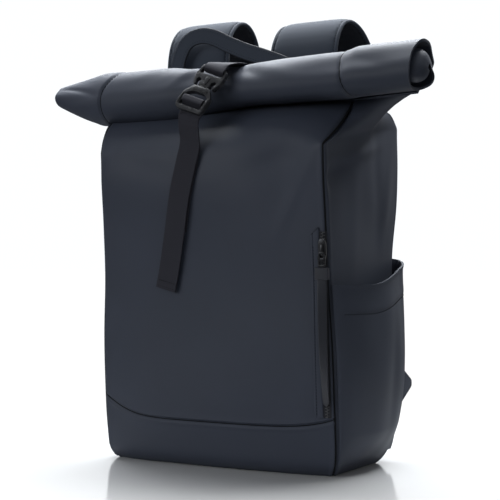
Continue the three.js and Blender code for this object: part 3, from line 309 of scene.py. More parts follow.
@dataclass(frozen=True)
class Finish:
    """A finish with its own colours, gloss and relief.

    The colour runs from dark to light over the pattern's tone (painted shade in the low parts of weave and knit),
    goes to the edge colour along convex edges (wear, and on the plastic also painted highlight), and a little to
    dust.
    """

    name: str
    slot: str
    pattern: Pattern
    dark: tuple
    light: tuple
    edge_wear_highlight_colour: tuple = (0.09, 0.1, 0.115)
    edge_wear_highlight: float = 0.25
    dust: float = 0.04
    rough_low: float = 0.5
    rough_high: float = 0.62
    relief: float = 0.05
    depth: float = 0.0002
    metallic: float = 0.0
    specular: float = 0.5
    sheen: float = 0.0
    grain: float = 900.0

    def material(self) -> bpy.types.Material:
        """The material with this finish, made the first time."""
        found = bpy.data.materials.get(self.name)
        if found:
            return found
        made = bpy.data.materials.new(self.name)
        made.use_nodes = True
        made.node_tree.nodes.clear()
        kit = NodeKit(made.node_tree)
        place = kit.add("TexCoord").outputs
        tone, height = self.tone_and_height(kit, place)
        # Lighter along convex edges: wear, and on the plastic also painted highlight.
        edge_wear_highlight = kit.effect(Effect.EDGE_WEAR_HIGHLIGHT, Vector=place["Object"])["Mask"]
        edge_wear_highlight_colour = kit.blend(kit.sum("MULTIPLY", edge_wear_highlight, self.edge_wear_highlight), kit.blend(tone, self.dark, self.light), self.edge_wear_highlight_colour)
        dust = kit.effect(Effect.DUST, Vector=place["Object"], Amount=self.dust)["Mask"]
        bump = kit.add("Bump", {"Height": height, "Strength": self.relief, "Distance": self.depth})
        shader = kit.add("BsdfPrincipled", {
            "Base Color": kit.blend(dust, edge_wear_highlight_colour, (0.3, 0.3, 0.31)),
            "Roughness": kit.ramp(tone, 0.0, 1.0, self.rough_low, self.rough_high),
            "Normal": bump.outputs[0],
            "Metallic": self.metallic,
            "Specular IOR Level": self.specular,
            "Sheen Weight": self.sheen,
            "Sheen Roughness": 0.45,
        })
        kit.add("OutputMaterial", {"Surface": shader.outputs[0]}).is_active_output = True
        return made

    def tone_and_height(self, kit: NodeKit, place: bpy.types.NodeOutputs) -> tuple:
        """Tone and height sockets of the finish's pattern, from the places that a texture can use."""
        vector = place["Object"]
        # For weave and knit the tone is their height mask, so the colour is darker in their low parts: painted
        # shade.
        if self.pattern is Pattern.WEAVE:
            given = kit.effect(Effect.WEBBING_WEAVE, Vector=place["UV"])
            return given["Mask"], given["Height"]
        if self.pattern is Pattern.KNIT:
            given = kit.effect(Effect.MESH_KNIT, Vector=vector, Cells=self.grain)
            return given["Mask"], given["Height"]
        patch = 8.0 if self.pattern is Pattern.COAT else 40.0
        given = kit.effect(Effect.CLOTH_GRAIN, Vector=vector, Patch=patch, Grain=self.grain)
        return given["Tone"], given["Height"]


COATED = Finish(
    "coated_cloth", "cloth", Pattern.COAT, (0.027, 0.033, 0.05), (0.032, 0.0385, 0.058),
    rough_low=0.56, rough_high=0.64, specular=0.34, sheen=0.02, relief=0.12, dust=0.01, edge_wear_highlight=0.1,
)
PADDED = Finish(
    "padded_cloth", "padded_cloth", Pattern.COAT, (0.022, 0.0265, 0.041), (0.027, 0.032, 0.048),
    rough_low=0.58, rough_high=0.66, specular=0.38, sheen=0.04, relief=0.14, dust=0.015, edge_wear_highlight=0.1,
)
# Its dark colour sits in the sunk middles of the knit's cells: painted shade.
LINING = Finish(
    "mesh_lining", "padded_cloth", Pattern.KNIT, (0.006, 0.007, 0.009), (0.018, 0.02, 0.025),
    rough_low=0.8, rough_high=0.7, relief=0.6, depth=0.0006, specular=0.25, edge_wear_highlight=0.0,
)
# Its dark colour sits in the grooves of the weave: painted shade.
WEBBING = Finish(
    "webbing", "webbing", Pattern.WEAVE, (0.034, 0.035, 0.042), (0.076, 0.078, 0.09),
    rough_low=0.72, rough_high=0.6, relief=0.6, depth=0.0004, specular=0.4, sheen=0.1, edge_wear_highlight=0.0,
)
TAPE = Finish(
    "zip_tape", "zip", Pattern.COAT, (0.012, 0.013, 0.017), (0.018, 0.019, 0.024),
    rough_low=0.6, rough_high=0.7, relief=0.1, edge_wear_highlight=0.0, specular=0.25, dust=0.01,
)
# Near black: it colours the stitches, and also the dark cords in seam grooves and under the welt, which are painted
# shade.
THREAD_AND_SHADE_CORD = Finish(
    "thread_and_shade_cord", "cloth", Pattern.COAT, (0.002, 0.0023, 0.003), (0.005, 0.0055, 0.007),
    rough_low=0.7, rough_high=0.8, edge_wear_highlight=0.0, grain=1800.0, specular=0.2, dust=0.0,
)
# Its light edge colour is partly painted highlight: it stands in for the pale glints along the buckle's bevels,
# beside real wear.
PLASTIC = Finish(
    "black_plastic", "plastic", Pattern.MOULD, (0.017, 0.0175, 0.02), (0.024, 0.0245, 0.028),
    edge_wear_highlight_colour=(0.13, 0.135, 0.145), edge_wear_highlight=0.6, rough_low=0.24, rough_high=0.32, relief=0.08, grain=1600.0, dust=0.02,
)
METAL = Finish(
    "painted_metal", "metal", Pattern.MOULD, (0.02, 0.021, 0.024), (0.03, 0.031, 0.034),
    edge_wear_highlight_colour=(0.3, 0.3, 0.32), edge_wear_highlight=0.6, rough_low=0.26, rough_high=0.36, relief=0.03, metallic=0.55,
)
PULL = Finish(
    "pull_strap", "webbing", Pattern.COAT, (0.02, 0.022, 0.029), (0.026, 0.028, 0.036),
    rough_low=0.3, rough_high=0.4, relief=0.1, edge_wear_highlight_colour=(0.12, 0.12, 0.14), edge_wear_highlight=0.4, dust=0.02,
)


# Meshes and pieces


def add_piece(
    name: str,
    points: Array,
    faces: Sequence,
    finish: Finish,
    stands_for: Sequence[str] = (),
    uv: Optional[Array] = None,
    sharp: float = 42.0,
) -> bpy.types.Object:
    """Makes a piece from points and faces, and lets it ride on the bag.

    Args:
        name: The piece's name.
        points: Points (n, 3) in millimetres.
        faces: Corner numbers of each face.
        finish: Its finish.
        stands_for: CAD nodes that it replaces.
        uv: Map (n, 2) in millimetres, across and along, for a woven finish.
        sharp: Edges that turn by more than this many degrees stay sharp.

    Returns:
        The new object.
    """
    mesh = bpy.data.meshes.new(name)
    mesh.from_pydata((np.asarray(points) * MM).tolist(), [], [tuple(face) for face in faces])
    mesh.update()
    mesh.shade_smooth()
    mesh.set_sharp_from_angle(angle=math.radians(sharp))
    if uv is not None:
        layer = mesh.uv_layers.new(name="weave")
        corners = np.empty(len(mesh.loops), dtype=np.int32)
        mesh.loops.foreach_get("vertex_index", corners)
        layer.data.foreach_set("uv", (np.asarray(uv)[corners] * MM).ravel())
    mesh.materials.append(finish.material())
    piece = bpy.data.objects.new(name, mesh)
    bpy.context.scene.collection.objects.link(piece)
    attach(piece, "root")
    if stands_for:
        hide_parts(*stands_for)
    log.info("%s: %d faces", name, len(mesh.polygons))
    return piece


def sheet_faces(rows: int, columns: int) -> Array:
    """Faces of a closed thin solid whose outer grid comes first and whose inner grid follows.

    Args:
        rows: Rows of each grid.
        columns: Columns of each grid.

    Returns:
        Corner numbers (n, 4).
    """
    out = np.arange(rows * columns).reshape(rows, columns)
    back = out + rows * columns
    parts = [
        (out[:-1, :-1], out[:-1, 1:], out[1:, 1:], out[1:, :-1]),
        (back[:-1, :-1], back[1:, :-1], back[1:, 1:], back[:-1, 1:]),
        (out[:-1, 0], out[1:, 0], back[1:, 0], back[:-1, 0]),
        (out[:-1, -1], back[:-1, -1], back[1:, -1], out[1:, -1]),
        (back[0, :-1], back[0, 1:], out[0, 1:], out[0, :-1]),
        (out[-1, :-1], out[-1, 1:], back[-1, 1:], back[-1, :-1]),
    ]
    return np.concatenate([np.stack([p.ravel() for p in part], -1) for part in parts])


def ring_faces(rings: int, count: int, closed: bool = False) -> list:
    """Faces of a tube through rings of points, with flat ends unless it is closed.

    Args:
        rings: How many rings.
        count: Points in each ring.
        closed: True where the last ring joins the first.

    Returns:
        Corner numbers of each face.
    """
    at = np.arange(rings * count).reshape(rings, count)
    if closed:
        at = np.concatenate([at, at[:1]])
    turned = np.roll(at, -1, axis=1)
    sides = np.stack([at[:-1], turned[:-1], turned[1:], at[1:]], -1).reshape(-1, 4)
    faces = sides.tolist()
    if not closed:
        faces.append(at[0][::-1].tolist())
        faces.append(at[-1].tolist())
    return faces


@dataclass
class Solid:
    """Points, faces and map of one or more closed solids that make one piece."""

    points: list = field(default_factory=list)
    faces: list = field(default_factory=list)
    uv: list = field(default_factory=list)
    count: int = 0

    def add(self, points: Array, faces: Sequence, uv: Optional[Array] = None) -> None:
        """Adds one solid.

        Args:
            points: Its points (n, 3).
            faces: Corner numbers of its faces.
            uv: Its map (n, 2).
        """
        flat = np.asarray(points).reshape(-1, 3)
        start = self.count
        self.points.append(flat)
        self.faces.extend([tuple(int(corner) + start for corner in face) for face in faces])
        self.uv.append(np.zeros((len(flat), 2)) if uv is None else np.asarray(uv).reshape(-1, 2))
        self.count += len(flat)

    def piece(
        self, name: str, finish: Finish, stands_for: Sequence[str] = (), sharp: float = 42.0
    ) -> bpy.types.Object:
        """Makes the piece.

        Args:
            name: Its name.
            finish: Its finish.
            stands_for: CAD nodes that it replaces.
            sharp: Smallest angle of a sharp edge, in degrees.

        Returns:
            The new object.
        """
        points = np.concatenate(self.points)
        return add_piece(name, points, self.faces, finish, stands_for, np.concatenate(self.uv), sharp)


def cloth_piece(
    name: str,
    outer: Array,
    inner: Array,
    finish: Finish,
    stands_for: Sequence[str],
) -> bpy.types.Object:
    """A sheet of cloth between two grids of points; the size that it was cut to is also worked out.

    Its width is the mean length of the rows, its length the mean length of the columns, and its area the sum
    over the outer grid's faces.

    Args:
        name: The piece's name.
        outer: Outer grid (rows, columns, 3).
        inner: Inner grid of the same shape.
        finish: Its finish.
        stands_for: CAD nodes that it replaces.

    Returns:
        The new object.
    """
    rows, columns = outer.shape[:2]
    points = np.concatenate([outer.reshape(-1, 3), inner.reshape(-1, 3)])
    piece = add_piece(name, points, sheet_faces(rows, columns), finish, stands_for)
    across = np.linalg.norm(np.diff(outer, axis=1), axis=2).sum(1).mean() * MM
    up = np.linalg.norm(np.diff(outer, axis=0), axis=2).sum(0).mean() * MM
    sides = np.cross(outer[1:, 1:] - outer[:-1, :-1], outer[1:, :-1] - outer[:-1, 1:])
    area = np.linalg.norm(sides, axis=2).sum() / 2 * MM * MM
    area = min(max(area, 0.31 * across * up), across * up)
    return piece


def section_points(width: float, thick: float, square: float, count: int) -> Array:
    """Rounded flat section: (±|cos|^p · width/2, ±|sin|^p · thick/2), where p is 1 for an oval and 0 for a box.

    Args:
        width: Its width.
        thick: Its thickness.
        square: The power p.
        count: Points around it.

    Returns:
        Points (count, 2) as width and thickness places, from the width axis to the thickness axis.
    """
    turn = (np.arange(count) + 0.5) / count * TAU
    wide = np.sign(np.cos(turn)) * np.abs(np.cos(turn)) ** square * width / 2
    high = np.sign(np.sin(turn)) * np.abs(np.sin(turn)) ** square * thick / 2
    return np.stack([wide, high], -1)


def band_rings(path: Array, across: Array, sections: Array) -> tuple:
    """Rings of a band that follows a path.

    Ring i is path[i] + w · wide + n · normal, where wide is across made square to the path, and normal is the
    path's direction cross wide.

    Args:
        path: Points (n, 3).
        across: Width directions (n, 3) or (3,).
        sections: Section points (k, 2) or (n, k, 2).

    Returns:
        Rings (n, k, 3) and the map (n, k, 2).
    """
    tangent = unit(np.gradient(path, axis=0))
    wide = np.broadcast_to(np.asarray(across, float), path.shape)
    wide = unit(wide - (wide * tangent).sum(1, keepdims=True) * tangent)
    normal = np.cross(tangent, wide)
    shape = np.broadcast_to(sections, (len(path), *np.shape(sections)[-2:]))
    rings = path[:, None] + shape[..., :1] * wide[:, None] + shape[..., 1:] * normal[:, None]
    reach = np.broadcast_to(along_path(path)[:, None], shape.shape[:2])
    return rings, np.stack([shape[..., 0], reach], -1)


def add_band(solid: Solid, path: Array, across: Array, sections: Array) -> None:
    """Adds a band along a path to a solid."""
    rings, uv = band_rings(path, across, sections)
    solid.add(rings, ring_faces(*rings.shape[:2]), uv)


def add_tube(solid: Solid, path: Array, radius: float, count: int = 8) -> None:
    """Adds a round cord along a path to a solid."""
    axis = np.array([0.31, 0.17, 0.93])
    add_band(solid, path, axis, section_points(2 * radius, 2 * radius, 1.0, count))


def add_stitches(
    solid: Solid, path: Array, normals: Array, pitch: float = 3.6, length: float = 2.5, radius: float = 0.38
) -> None:
    """Adds a row of stitches: small rounded threads that dive into the cloth at both ends.

    A stitch is three rings of five points: radius · (0.5, 1, 0.5) at -1, 0 and 1 half lengths, the outer ones
    sunk by the radius.

    Args:
        solid: Where they go.
        path: Points (n, 3) on the cloth.
        normals: Outward normals (n, 3) or (3,).
        pitch: Distance from one to the next.
        length: Length of one.
        radius: Its radius.
    """
    reach = along_path(path)
    count = max(int(reach[-1] / pitch), 1)
    wanted = (np.arange(count) + 0.5) * reach[-1] / count
    normals = np.broadcast_to(np.asarray(normals, float), path.shape)
    middle = at_reach(path, reach, wanted)
    out = unit(at_reach(normals, reach, wanted))
    ahead = unit(at_reach(np.gradient(path, axis=0), reach, wanted))
    aside = unit(np.cross(out, ahead))
    turn = np.arange(5)[:, None, None] / 5 * TAU
    rings = []
    for place, wide, sink in ((-1.0, 0.5, 1.0), (0.0, 1.0, 0.0), (1.0, 0.5, 1.0)):
        centre = middle + ahead * place * length / 2 - out * sink * radius
        rings.append(centre[None] + (np.cos(turn) * aside + np.sin(turn) * out) * radius * wide)
    faces = ring_faces(3, 5)
    for stitch in np.stack(rings, 0).transpose(2, 0, 1, 3):
        solid.add(stitch, faces)


# The bag's walls as functions


@dataclass(frozen=True)
class Dent:
    """A broad dent of a wall, or a swelling where its depth is below 0."""

    face: str
    across: float
    up: float
    wide: float
    high: float
    depth: float


@dataclass(frozen=True)
class Fold:
    """A narrow fold of a wall or the roll: a bell across its line and a longer bell along it, in millimetres.

    Across is a share of the wall's half width or the place along the roll; up is the height or the angle.
    """

    face: str
    across: float
    up: float
    length: float
    width: float
    slant: float
    height: float

    def rise(self, aside: Array, above: Array) -> Array:
        """Its height at some distances from its middle."""
        turn = math.radians(self.slant)
        along = aside * math.cos(turn) + above * math.sin(turn)
        off = above * math.cos(turn) - aside * math.sin(turn)
        return self.height * hump(along / self.length) * hump(off / self.width)


NEXT_FACE = {"front": "right", "right": "back", "back": "left", "left": "front"}
FACE_BEFORE = {after: before for before, after in NEXT_FACE.items()}


@dataclass(frozen=True)
class BagForm:
    """The walls of the bag. A place on a wall is across, from -1 to 1 anticlockwise seen from above, and height,
    from 0 at the floor through 1 at the shoulder to 2 where the walls enter the roll."""

    base_width: float = 285.0
    base_depth: float = 130.0
    front_height: float = 333.0
    back_height: float = 367.0
    wall: float = 1.6
    base_lift: float = 0.6
    neck_half: float = 144.0
    front_bulge: float = 10.0
    back_bulge: float = 6.0
    side_bulge: float = 4.0
    ridge: tuple = (3.0, 9.0, 3.0)
    fold_arc: float = 5.0
    roll_centre: tuple = (-50.0, 402.0)
    roll_radius: float = 29.0
    roll_start: float = math.radians(-36)
    roll_triangle: float = 0.1
    layer_gap: float = 0.4
    lift_left: float = 14.0
    lift_right: float = 4.0
    cut_left: float = 12.0
    cut_right: float = 19.0
    dent_depth: float = 6.0
    corner_round: float = 6.5
    shoulder_round: float = 13.0
    seam_round: float = 3.5
    rear_round: float = 11.0
    neck_length: float = 77.0
    rear_puff: float = 11.0
    groove: float = 1.8
    # how far the neck's curve leans in and rises before it turns to the roll
    rear_neck: tuple = (0.95, 0.25)
    right_neck: tuple = (0.7, 0.34)
    left_neck: tuple = (0.15, 0.8)
    # up, half width, front depth, back depth and bulge, as shares of the named sizes
    sections: tuple = (
        (0.0, 0.935, 0.86, 0.74, 0.9),
        (0.012, 0.962, 0.925, 0.83, 1.0),
        (0.035, 0.99, 0.985, 0.95, 1.0),
        (0.08, 1.0, 1.01, 1.05, 1.0),
        (0.18, 1.004, 1.06, 1.1, 0.9),
        (0.4, 0.998, 1.13, 1.13, 0.6),
        (0.6, 0.975, 1.18, 1.21, 0.6),
        (0.76, 0.972, 1.235, 1.42, 0.8),
        (0.9, 0.968, 1.3, 1.5, 1.0),
        (1.0, 0.963, 1.32, 1.55, 0.8),
    )
    dents: tuple = (
        Dent("front", 0.72, 0.93, 0.13, 0.14, 1.35),
        Dent("front", -0.95, 0.93, 0.12, 0.1, -0.8),
        Dent("front", -0.3, 0.55, 0.3, 0.2, 0.35),
        Dent("front", -0.9, 0.16, 0.08, 0.05, 0.5),
        Dent("front", 0.45, 0.35, 0.25, 0.15, -0.25),
        Dent("right", -0.35, 0.8, 0.25, 0.12, 0.5),
        Dent("right", 0.35, 0.7, 0.2, 0.08, 0.4),
        Dent("left", 0.2, 0.6, 0.4, 0.2, 0.6),
        Dent("back", 0.0, 0.6, 0.5, 0.25, 0.5),
    )
    creases: tuple = (
        Fold("front", 0.62, 322.0, 60.0, 15.0, 24.0, -1.6),
        Fold("front", 0.8, 296.0, 60.0, 8.0, 62.0, 1.2),
        Fold("front", -0.62, 322.0, 60.0, 11.0, -18.0, -1.2),
        Fold("front", -0.93, 300.0, 34.0, 7.0, 72.0, 1.3),
        Fold("front", -0.9, 118.0, 40.0, 8.0, 58.0, -0.8),
        Fold("front", 0.1, 205.0, 90.0, 26.0, 40.0, 0.7),
        Fold("right", -0.72, 306.0, 30.0, 13.0, 22.0, -6.0),
        Fold("right", -0.35, 326.0, 50.0, 8.0, 14.0, 3.4),
        Fold("right", -0.3, 262.0, 70.0, 14.0, 84.0, 0.8),
        Fold("right", 0.3, 300.0, 60.0, 12.0, 100.0, -0.9),
        Fold("right", 0.62, 280.0, 50.0, 10.0, 80.0, 0.9),
        Fold("left", 0.3, 300.0, 40.0, 10.0, 55.0, -1.6),
        Fold("left", -0.35, 230.0, 50.0, 12.0, -50.0, 1.2),
        Fold("back", 0.5, 300.0, 60.0, 12.0, 40.0, -1.2),
        Fold("back", -0.5, 290.0, 60.0, 12.0, -40.0, -1.2),
    )

    def shape(self, angle: Array) -> Array:
        """Radius factor of the roll's rounded triangle: 1 + k cos 3(angle - 90°)."""
        return 1 + self.roll_triangle * np.cos(3 * (np.asarray(angle) - math.pi / 2))

    def share(self, column: str, up: Array) -> Array:
        """A column of the section table at some shares of the shoulder height, by a cubic through its rows."""
        table = np.array(self.sections)
        ups, values = table[:, 0], table[:, ("up", "half", "front", "back", "bulge").index(column)]
        up = np.asarray(up, float)
        row = np.clip(np.searchsorted(ups, up, side="left") - 1, 0, len(ups) - 2)
        before, after = np.maximum(row - 1, 0), np.minimum(row + 2, len(ups) - 1)
        span = ups[row + 1] - ups[row]
        t = np.clip((up - ups[row]) / span, 0, 1)
        slope_low = (values[row + 1] - values[before]) / np.maximum(ups[row + 1] - ups[before], span)
        slope_high = (values[after] - values[row]) / np.maximum(ups[after] - ups[row], span)
        return (
            values[row] * (2 * t**3 - 3 * t**2 + 1) + span * slope_low * (t**3 - 2 * t**2 + t)
            + values[row + 1] * (3 * t**2 - 2 * t**3) + span * slope_high * (t**3 - t**2)
        )

    @property
    def mouth_half(self) -> float:
        """Half the width of the flattened mouth: half the shoulder's width and half its depth."""
        half = float(self.share("half", 1.0)) * self.base_width / 2
        depth = float(self.share("back", 1.0)) + float(self.share("front", 1.0))
        return half + depth * self.base_depth / 4

    @property
    def neck(self) -> tuple:
        """y and z where the walls enter the roll."""
        radius = self.roll_radius * float(self.shape(self.roll_start))
        y, z = self.roll_centre
        return y + radius * math.cos(self.roll_start), z + radius * math.sin(self.roll_start)

    def mouth_lift(self, x: Array) -> Array:
        """How much the mouth is lifted towards its two ends."""
        x = np.asarray(x, float)
        share = np.clip((np.abs(x) - self.neck_half) / (self.mouth_half - self.neck_half), 0, 1)
        return share * np.where(x < 0, self.lift_left, self.lift_right)

    def corner(self, side: int, face: str, height: Array) -> Array:
        """A corner seam: the section table up to the shoulder, then a quadratic curve to the roll.

        Args:
            side: -1 left, 1 right.
            face: front or back.
            height: Heights from 0 to 2.

        Returns:
            Points on the seam.
        """
        height = np.asarray(height, float)
        rear = face == "back"
        up = np.minimum(height, 1)
        half = self.share("half", up) * self.base_width / 2
        reach = self.share(face, up) * self.base_depth / 2 * (1 if rear else -1)
        tall = self.back_height if rear else self.front_height
        low = vec(side * half, reach, self.base_lift + up * (tall - self.base_lift))
        t = np.clip(height - 1, 0, 1)
        neck_y, neck_z = self.neck
        end_y = neck_y + (self.wall + self.layer_gap / 2) * (1 if rear else -1)
        lean, rise = self.rear_neck if rear else self.right_neck if side > 0 else self.left_neck
        control_y, control_z = mix(reach, end_y, lean), mix(tall, neck_z, rise)
        y = (1 - t) ** 2 * reach + 2 * t * (1 - t) * control_y + t * t * end_y
        z = (1 - t) ** 2 * tall + 2 * t * (1 - t) * control_z + t * t * neck_z
        puff = self.rear_puff * smooth(0, 0.13, t) * (1 - smooth(0.13, 0.55, t)) if rear else 0.0
        high = vec(side * mix(half, self.neck_half, t), y, z + puff)
        return np.where((height <= 1)[..., None], low, high)

    def fold(self, side: int, share: Array) -> Array:
        """The centre fold of a gusset, from the tip of its ridge (0) to the end of the mouth (1)."""
        share = np.asarray(share, float)[..., None]
        out, rear, rise = self.ridge
        middle = (self.corner(side, "front", 1.0) + self.corner(side, "back", 1.0)) / 2
        tip = middle + np.array([side * out, rear, rise])
        neck_y, neck_z = self.neck
        reach = side * self.mouth_half - side * (self.cut_right if side > 0 else self.cut_left)
        end = np.array([reach, neck_y, neck_z + float(self.mouth_lift(reach)) + 1.5])
        return mix(tip, end, share) + np.array([0, 0, self.fold_arc]) * 4 * share * (1 - share)

    def dent(self, face: str, across: Array, height: Array) -> Array:
        """Depth of the broad dents: sum of bells, fading at the seams and above the shoulder."""
        depth = np.zeros(np.broadcast(across, height).shape)
        for dent in self.dents:
            if dent.face == face:
                away = ((across - dent.across) / dent.wide / 2) ** 2 + ((height - dent.up) / dent.high) ** 2
                depth = depth + self.dent_depth * dent.depth * np.exp(-away)
        return depth * (1 - across**4) * (1 - smooth(1, 1.6, height))

    def flat_wall(self, face: str, across: Array, height: Array) -> Array:
        """Front or back wall: straight between its seams, with bulge · (1 - |across|³) and the dents added.

        The front's neck keeps the left seam's depth and height until across is 0.4, and then goes over to the
        right seam's in a rounded lip: 1 - root(1 - s²).
        """
        turn = 1 if face == "front" else -1
        share = (across + 1) / 2
        lip = np.clip((across - 0.4) / 0.6, 0, 1)
        late = 1 - np.sqrt(1 - 0.999 * lip**2) if face == "front" else share
        start, end = self.corner(-turn, face, height), self.corner(turn, face, height)
        point = mix(start, end, np.stack([share, late, late], -1))
        bulge = self.front_bulge if face == "front" else self.back_bulge
        full = bulge * self.share("bulge", np.minimum(height, 1)) * (1 - smooth(0.8, 1.45, height))
        point[..., 1] -= turn * (full * (1 - np.abs(across) ** 3) - self.dent(face, across, height))
        point[..., 2] += np.where(height > 1, self.mouth_lift(point[..., 0]) * (height - 1), 0)
        return point

    def side_wall(self, side: int, across: Array, height: Array) -> Array:
        """Side wall: between its seams, rising to the ridge, and folded to the centre fold above it."""
        forward = across * side
        inward = 1 - np.abs(across)
        front, back = self.corner(side, "front", height), self.corner(side, "back", height)
        middle = (self.corner(side, "front", 1.0) + self.corner(side, "back", 1.0)) / 2
        near = smooth(0.86, 1, height)
        low = mix(front, back, ((forward + 1) / 2)[..., None])
        low = low + (self.fold(side, 0.0) - middle) * (inward * near)[..., None]
        swell = self.side_bulge * (1 - across**2) * (1 - near) * smooth(0, 0.1, height)
        low[..., 0] += side * (swell - self.dent("right" if side > 0 else "left", across, height) * (1 - near))
        seam = np.where((forward > 0)[..., None], back, front)
        high = mix(seam, self.fold(side, np.maximum(height - 1, 0)), inward[..., None])
        return np.where((height > 1)[..., None], high, low)

    def plain(self, face: str, across: Array, height: Array) -> Array:
        """A wall without its softening."""
        across, height = np.broadcast_arrays(np.asarray(across, float), np.asarray(height, float))
        if face in ("front", "back"):
            return self.flat_wall(face, across, height)
        return self.side_wall(1 if face == "right" else -1, across, height)

    def span(self, face: str, height: Array) -> Array:
        """Half the width of a wall, roughly, for turning millimetres into across."""
        if face in ("front", "back"):
            return np.full(np.shape(height), self.base_width / 2)
        return mix(62.0, 93.0, np.clip(height, 0, 1))

    def around(self, face: str, across: Array, height: Array, shift: Array) -> Array:
        """A wall's point moved along the wall by some millimetres, past a corner onto the next wall."""
        span = self.span(face, height)
        moved = across + shift / span
        here = self.plain(face, np.clip(moved, -1, 1), height)
        for over, other in ((moved > 1, NEXT_FACE[face]), (moved < -1, FACE_BEFORE[face])):
            if over.any():
                past = (np.abs(moved) - 1) * span / self.span(other, height)
                edge = np.where(moved > 0, -1 + past, 1 - past)
                there = self.plain(other, np.clip(edge, -1, 1), height)
                here = np.where(over[..., None], there, here)
        return here

    def soft(self, face: str, across: Array, height: Array) -> Array:
        """A wall with rounded corners and shoulder: the weighted mean of plain() at 5 × 5 places around a point.

        The places lie up to corner_round apart along the wall, and up to shoulder_round along its height near
        the shoulder, less at the seams.
        """
        across, height = np.broadcast_arrays(np.asarray(across, float), np.asarray(height, float))
        below, above = self.front_height, self.neck_length
        run = np.where(height < 1, (height - 1) * below, (height - 1) * above)
        middle = smooth(0.0, 0.35, 1 - np.abs(across)) if face in ("front", "back") else 0.0
        tall = mix(self.seam_round, self.shoulder_round, middle) * hump(run / 26) * smooth(2.0, 1.8, height)
        rearward = {"right": across, "left": -across}.get(face, np.ones(across.shape) * (face == "back"))
        wide = mix(self.corner_round, 1.5, smooth(0.86, 1.05, height)) * smooth(0.0, 0.03, height)
        wide = wide + self.rear_round * hump((height - 1.0) / 0.09) * np.clip(rearward, 0, 1) ** 2
        wide = wide * smooth(2.0, 1.9, height)
        places = ((-1.0, 1), (-0.5, 2), (0.0, 3), (0.5, 2), (1.0, 1))
        total = np.zeros((*height.shape, 3))
        for step_up, weight_up in places:
            moved = run + step_up * tall
            level = np.clip(np.where(moved < 0, 1 + moved / below, 1 + moved / above), 0, 2)
            for step, weight in places:
                total += self.around(face, across, level, step * wide) * (weight * weight_up / 81)
        return total

    def relief(self, face: str, across: Array, height: Array, points: Array) -> Array:
        """Outward relief of a wall at its softened points: creases, slow waves, and grooves at the corner seams."""
        span = self.span(face, height)
        side = across * span
        z = points[..., 2]
        out = np.zeros(height.shape)
        for crease in self.creases:
            if crease.face == face:
                out = out + crease.rise(side - crease.across * span, z - crease.up)
        wave = 0.35 * np.sin(side * 0.043 + z * 0.021) * np.sin(z * 0.037 - side * 0.017)
        edge = span * (1 - np.abs(across))
        out = (out + wave) * smooth(0, 14, edge)
        seam = -self.groove * hump(edge / 1.5) + 0.6 * hump((edge - 4.0) / 2.6)
        return (out * (1 - smooth(1.0, 1.3, height)) + seam) * (1 - smooth(1.7, 1.95, height))

    def dressed(self, face: str, across: Array, height: Array) -> tuple:
        """A wall's grid with its relief, and its normals, both (rows, columns, 3)."""
        points = self.soft(face, across, height)
        points = points + grid_normals(points) * self.relief(face, across, height, points)[..., None]
        return points, grid_normals(points)

    def on_front(self, x: Array, z: Array, offset: Array) -> Array:
        """Points a little in front of the front wall."""
        x, z = np.broadcast_arrays(np.asarray(x, float), np.asarray(z, float))
        height = z / self.front_height
        across = np.clip(x / self.corner(1, "front", height)[..., 0], -1, 1)
        return self.soft("front", across, height) + self.front_normal(across, height) * np.asarray(offset)[..., None]

    def front_normal(self, across: Array, height: Array, step: float = 0.01) -> Array:
        """Outward normal of the front wall from two short steps."""
        inward = np.clip(across, -0.97, 0.97)
        along = self.plain("front", inward + step, height) - self.plain("front", inward - step, height)
        low, high = np.clip(height - step, 0, 1), np.clip(height + step, 0, 1)
        return unit(np.cross(along, self.plain("front", inward, high) - self.plain("front", inward, low)))

    def on_back_neck(self, x: float, y: float, offset: float) -> Array:
        """A point on the sloping top of the back wall, a little outside it, found by its y."""
        levels = np.linspace(1, 2, 400)
        across = np.full(levels.shape, -x / self.neck_half)
        line = self.plain("back", across, levels)
        pick = int(np.argmin(np.abs(line[:, 1] - y)))
        beside = self.plain("back", across + 0.01, levels)
        normal = unit(np.cross(beside[pick] - line[pick], line[min(pick + 3, 399)] - line[pick - 3]))
        return line[pick] + normal * offset


FORM = BagForm()


